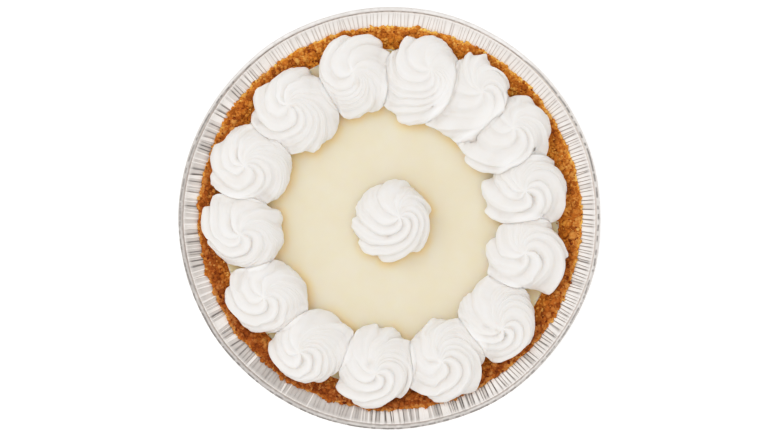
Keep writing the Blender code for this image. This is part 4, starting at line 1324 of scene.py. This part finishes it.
class PIE_OT_filling(bpy.types.Operator):
    """Add the set filling"""

    bl_idname = "pie.filling"
    bl_label = "Filling"

    def execute(self, context):
        filling = context.scene.pie_filling
        rings = filling_rings(filling)
        middle = (0, 0, rings[-1, :, 2].mean())
        grid = closed_grid(rings, (0, 0, CRUST_FLOOR + TOUCH), middle)
        finish = filling_finish(filling)
        mesh_piece("set_filling", grid, finish, "filling", ["lime_filling"], warmth=warmth_at(grid[0]))
        return {"FINISHED"}


class PIE_OT_cream(bpy.types.Operator):
    """Pipe the rosettes of whipped cream"""

    bl_idname = "pie.cream"
    bl_label = "Whipped Cream"

    def execute(self, context):
        cream = context.scene.pie_cream
        finish = cream_finish(cream)
        rng = np.random.default_rng(SEED + 2)
        for place, rosette in enumerate(RING):
            neighbours = RING[place - 1], RING[(place + 1) % len(RING)]
            self.pipe(f"{place + 1:02d}", rosette, neighbours, cream, finish, rng)
        self.pipe("centre", CENTRE, (), cream, finish, rng)
        return {"FINISHED"}

    def pipe(self, label, rosette, neighbours, cream, finish, rng):
        """One rosette in place of its solid."""
        grid, joined = rosette_grid(rosette, label, neighbours, cream, rng)
        mesh_piece(f"piped_rosette_{label}", grid, finish, "cream", [f"cream_rosette_{label}"], joined=joined)


BRIGHT_SIDE = math.radians(230)  # bearing of the side on which the sky is brighter
KEY_BEARING = math.radians(140)
KEY_RISE = math.radians(52)
KEY_DISTANCE = 1.6
KEY_WIDTH = 1.1
FLOOR_REACH = 6.0  # from its middle to its edge
PHOTO_WIDTH = 780  # in pixels
ASIDE = (0.1, -0.9)  # how far the camera stands off the tin's axis, in the photograph's pixels
# The light that is shown as white, and what is shown of each amount of light.
BRIGHTEST = 1.3
TONES = ((0, 0), (0.3, 0.3), (0.6, 0.6), (0.75, 0.735), (0.9, 0.84), (1.05, 0.915), (BRIGHTEST, 1.0))


class PIE_OT_stage(bpy.types.Operator):
    """Add the pale floor, the soft light and the camera"""

    bl_idname = "pie.stage"
    bl_label = "Stage"

    def execute(self, context):
        stage = context.scene.pie_stage
        scene = context.scene
        self.tone(scene)
        self.floor(stage)
        self.sky(scene, stage)
        self.key(stage)
        self.camera(scene, stage)
        return {"FINISHED"}

    def tone(self, scene):
        """The picture's tones: as they are up to 0.6, and then easing over to white."""
        settings = scene.view_settings
        settings.view_transform = "Standard"
        settings.use_curve_mapping = True
        mapping = settings.curve_mapping
        mapping.white_level = (BRIGHTEST,) * 3
        curve = mapping.curves[3]
        for place, value in TONES[1:-1]:
            curve.points.new(place / BRIGHTEST, value)
        mapping.update()

    def floor(self, stage):
        """A wide pale floor, which glows a little."""
        finish = Finish("pale_floor", 0.9)
        finish.wear(
            Base_Color=(*stage.floor, 1.0), Emission_Color=(1.0, 1.0, 1.0, 1.0), Emission_Strength=stage.glow
        )
        corners = np.array([(-1, -1), (1, -1), (1, 1), (-1, 1)]) * FLOOR_REACH
        mesh = bpy.data.meshes.new("floor")
        mesh.from_pydata([(x, y, -0.2 * MM) for x, y in corners], [], [(0, 1, 2, 3)])
        mesh.materials.append(finish.material)
        floor = bpy.data.objects.new("floor", mesh)
        bpy.context.scene.collection.objects.link(floor)

    def sky(self, scene, stage):
        """Light from all round, brighter on one side, and overhead by the direction's height squared."""
        world = bpy.data.worlds.new("studio")
        scene.world = world
        world.use_nodes = True
        nodes = Nodes(world.node_tree)
        direction = nodes.add("ShaderNodeTexCoord").outputs["Generated"]
        split = nodes.add("ShaderNodeSeparateXYZ")
        nodes.link(direction, split.inputs["Vector"])
        up = split.outputs["Z"]
        side = nodes.add("ShaderNodeVectorMath", operation="DOT_PRODUCT")
        nodes.fill(side.inputs[1], (*(0.2 * heading(BRIGHT_SIDE)), 0))
        nodes.link(direction, side.inputs[0])
        sided = nodes.maths("ADD", side.outputs["Value"], 1.0)
        above = nodes.maths("MULTIPLY_ADD", nodes.maths("MULTIPLY", up, up), 0.8, 0.6)
        strength = nodes.maths("MULTIPLY", nodes.maths("MULTIPLY", above, stage.sky), sided)
        background = world.node_tree.nodes["Background"]
        nodes.fill(background.inputs["Color"], (1.0, 0.98, 0.96, 1.0))
        nodes.link(strength, background.inputs["Strength"])

    def key(self, stage):
        """A large soft light from the upper left of the picture."""
        data = bpy.data.lights.new("key", "AREA")
        data.energy = stage.key
        data.shape = "DISK"
        data.size = KEY_WIDTH
        light = bpy.data.objects.new("key", data)
        across = KEY_DISTANCE * math.cos(KEY_RISE)
        light.location = (*(across * heading(KEY_BEARING)), KEY_DISTANCE * math.sin(KEY_RISE))
        light.rotation_euler = (0, math.pi / 2 - KEY_RISE, KEY_BEARING)
        bpy.context.scene.collection.objects.link(light)

    def camera(self, scene, stage):
        """A long lens straight above, a little off the axis, as the photograph is framed."""
        data = bpy.data.cameras.new("camera")
        data.sensor_width = 36.0
        data.lens = data.sensor_width * stage.eye_height / stage.view_width
        data.clip_end = 50.0
        camera = bpy.data.objects.new("camera", data)
        pixel = stage.view_width / PHOTO_WIDTH
        camera.location = (ASIDE[0] * pixel, ASIDE[1] * pixel, TIN_HEIGHT + stage.eye_height)
        scene.collection.objects.link(camera)
        scene.camera = camera


class PIE_PT_panel(bpy.types.Panel):
    """The pie's pieces, in the order in which they are made"""

    bl_idname = "PIE_PT_panel"
    bl_label = "Key Lime Pie"
    bl_space_type = "VIEW_3D"
    bl_region_type = "UI"
    bl_category = "Pie"

    def draw(self, context):
        """One button for each operator, with the settings that it reads under it."""
        for operator, group in STEPS:
            self.layout.operator(operator.bl_idname)
            settings = getattr(context.scene, group)
            for name in type(settings).__annotations__:
                self.layout.prop(settings, name)


STEPS = (
    (PIE_OT_foil_tin, "pie_tin"),
    (PIE_OT_crust, "pie_crust"),
    (PIE_OT_crumbs, "pie_crust"),
    (PIE_OT_filling, "pie_filling"),
    (PIE_OT_cream, "pie_cream"),
    (PIE_OT_stage, "pie_stage"),
)
GROUPS = {
    "pie_tin": TinSettings,
    "pie_crust": CrustSettings,
    "pie_filling": FillingSettings,
    "pie_cream": CreamSettings,
    "pie_stage": StageSettings,
}


def register():
    """Adds the settings, the operators and the panel."""
    for group in GROUPS.values():
        bpy.utils.register_class(group)
    for name, group in GROUPS.items():
        setattr(bpy.types.Scene, name, bpy.props.PointerProperty(type=group))
    for operator, _ in STEPS:
        bpy.utils.register_class(operator)
    bpy.utils.register_class(PIE_PT_panel)


def unregister():
    """Takes them away again."""
    bpy.utils.unregister_class(PIE_PT_panel)
    for operator, _ in reversed(STEPS):
        bpy.utils.unregister_class(operator)
    for name, group in GROUPS.items():
        delattr(bpy.types.Scene, name)
        bpy.utils.unregister_class(group)


def main():
    """Makes every piece and the stage."""
    register()
    for operator, _ in STEPS:
        group, name = operator.bl_idname.split(".")
        getattr(getattr(bpy.ops, group), name)()


if __name__ == "__main__":
    main()
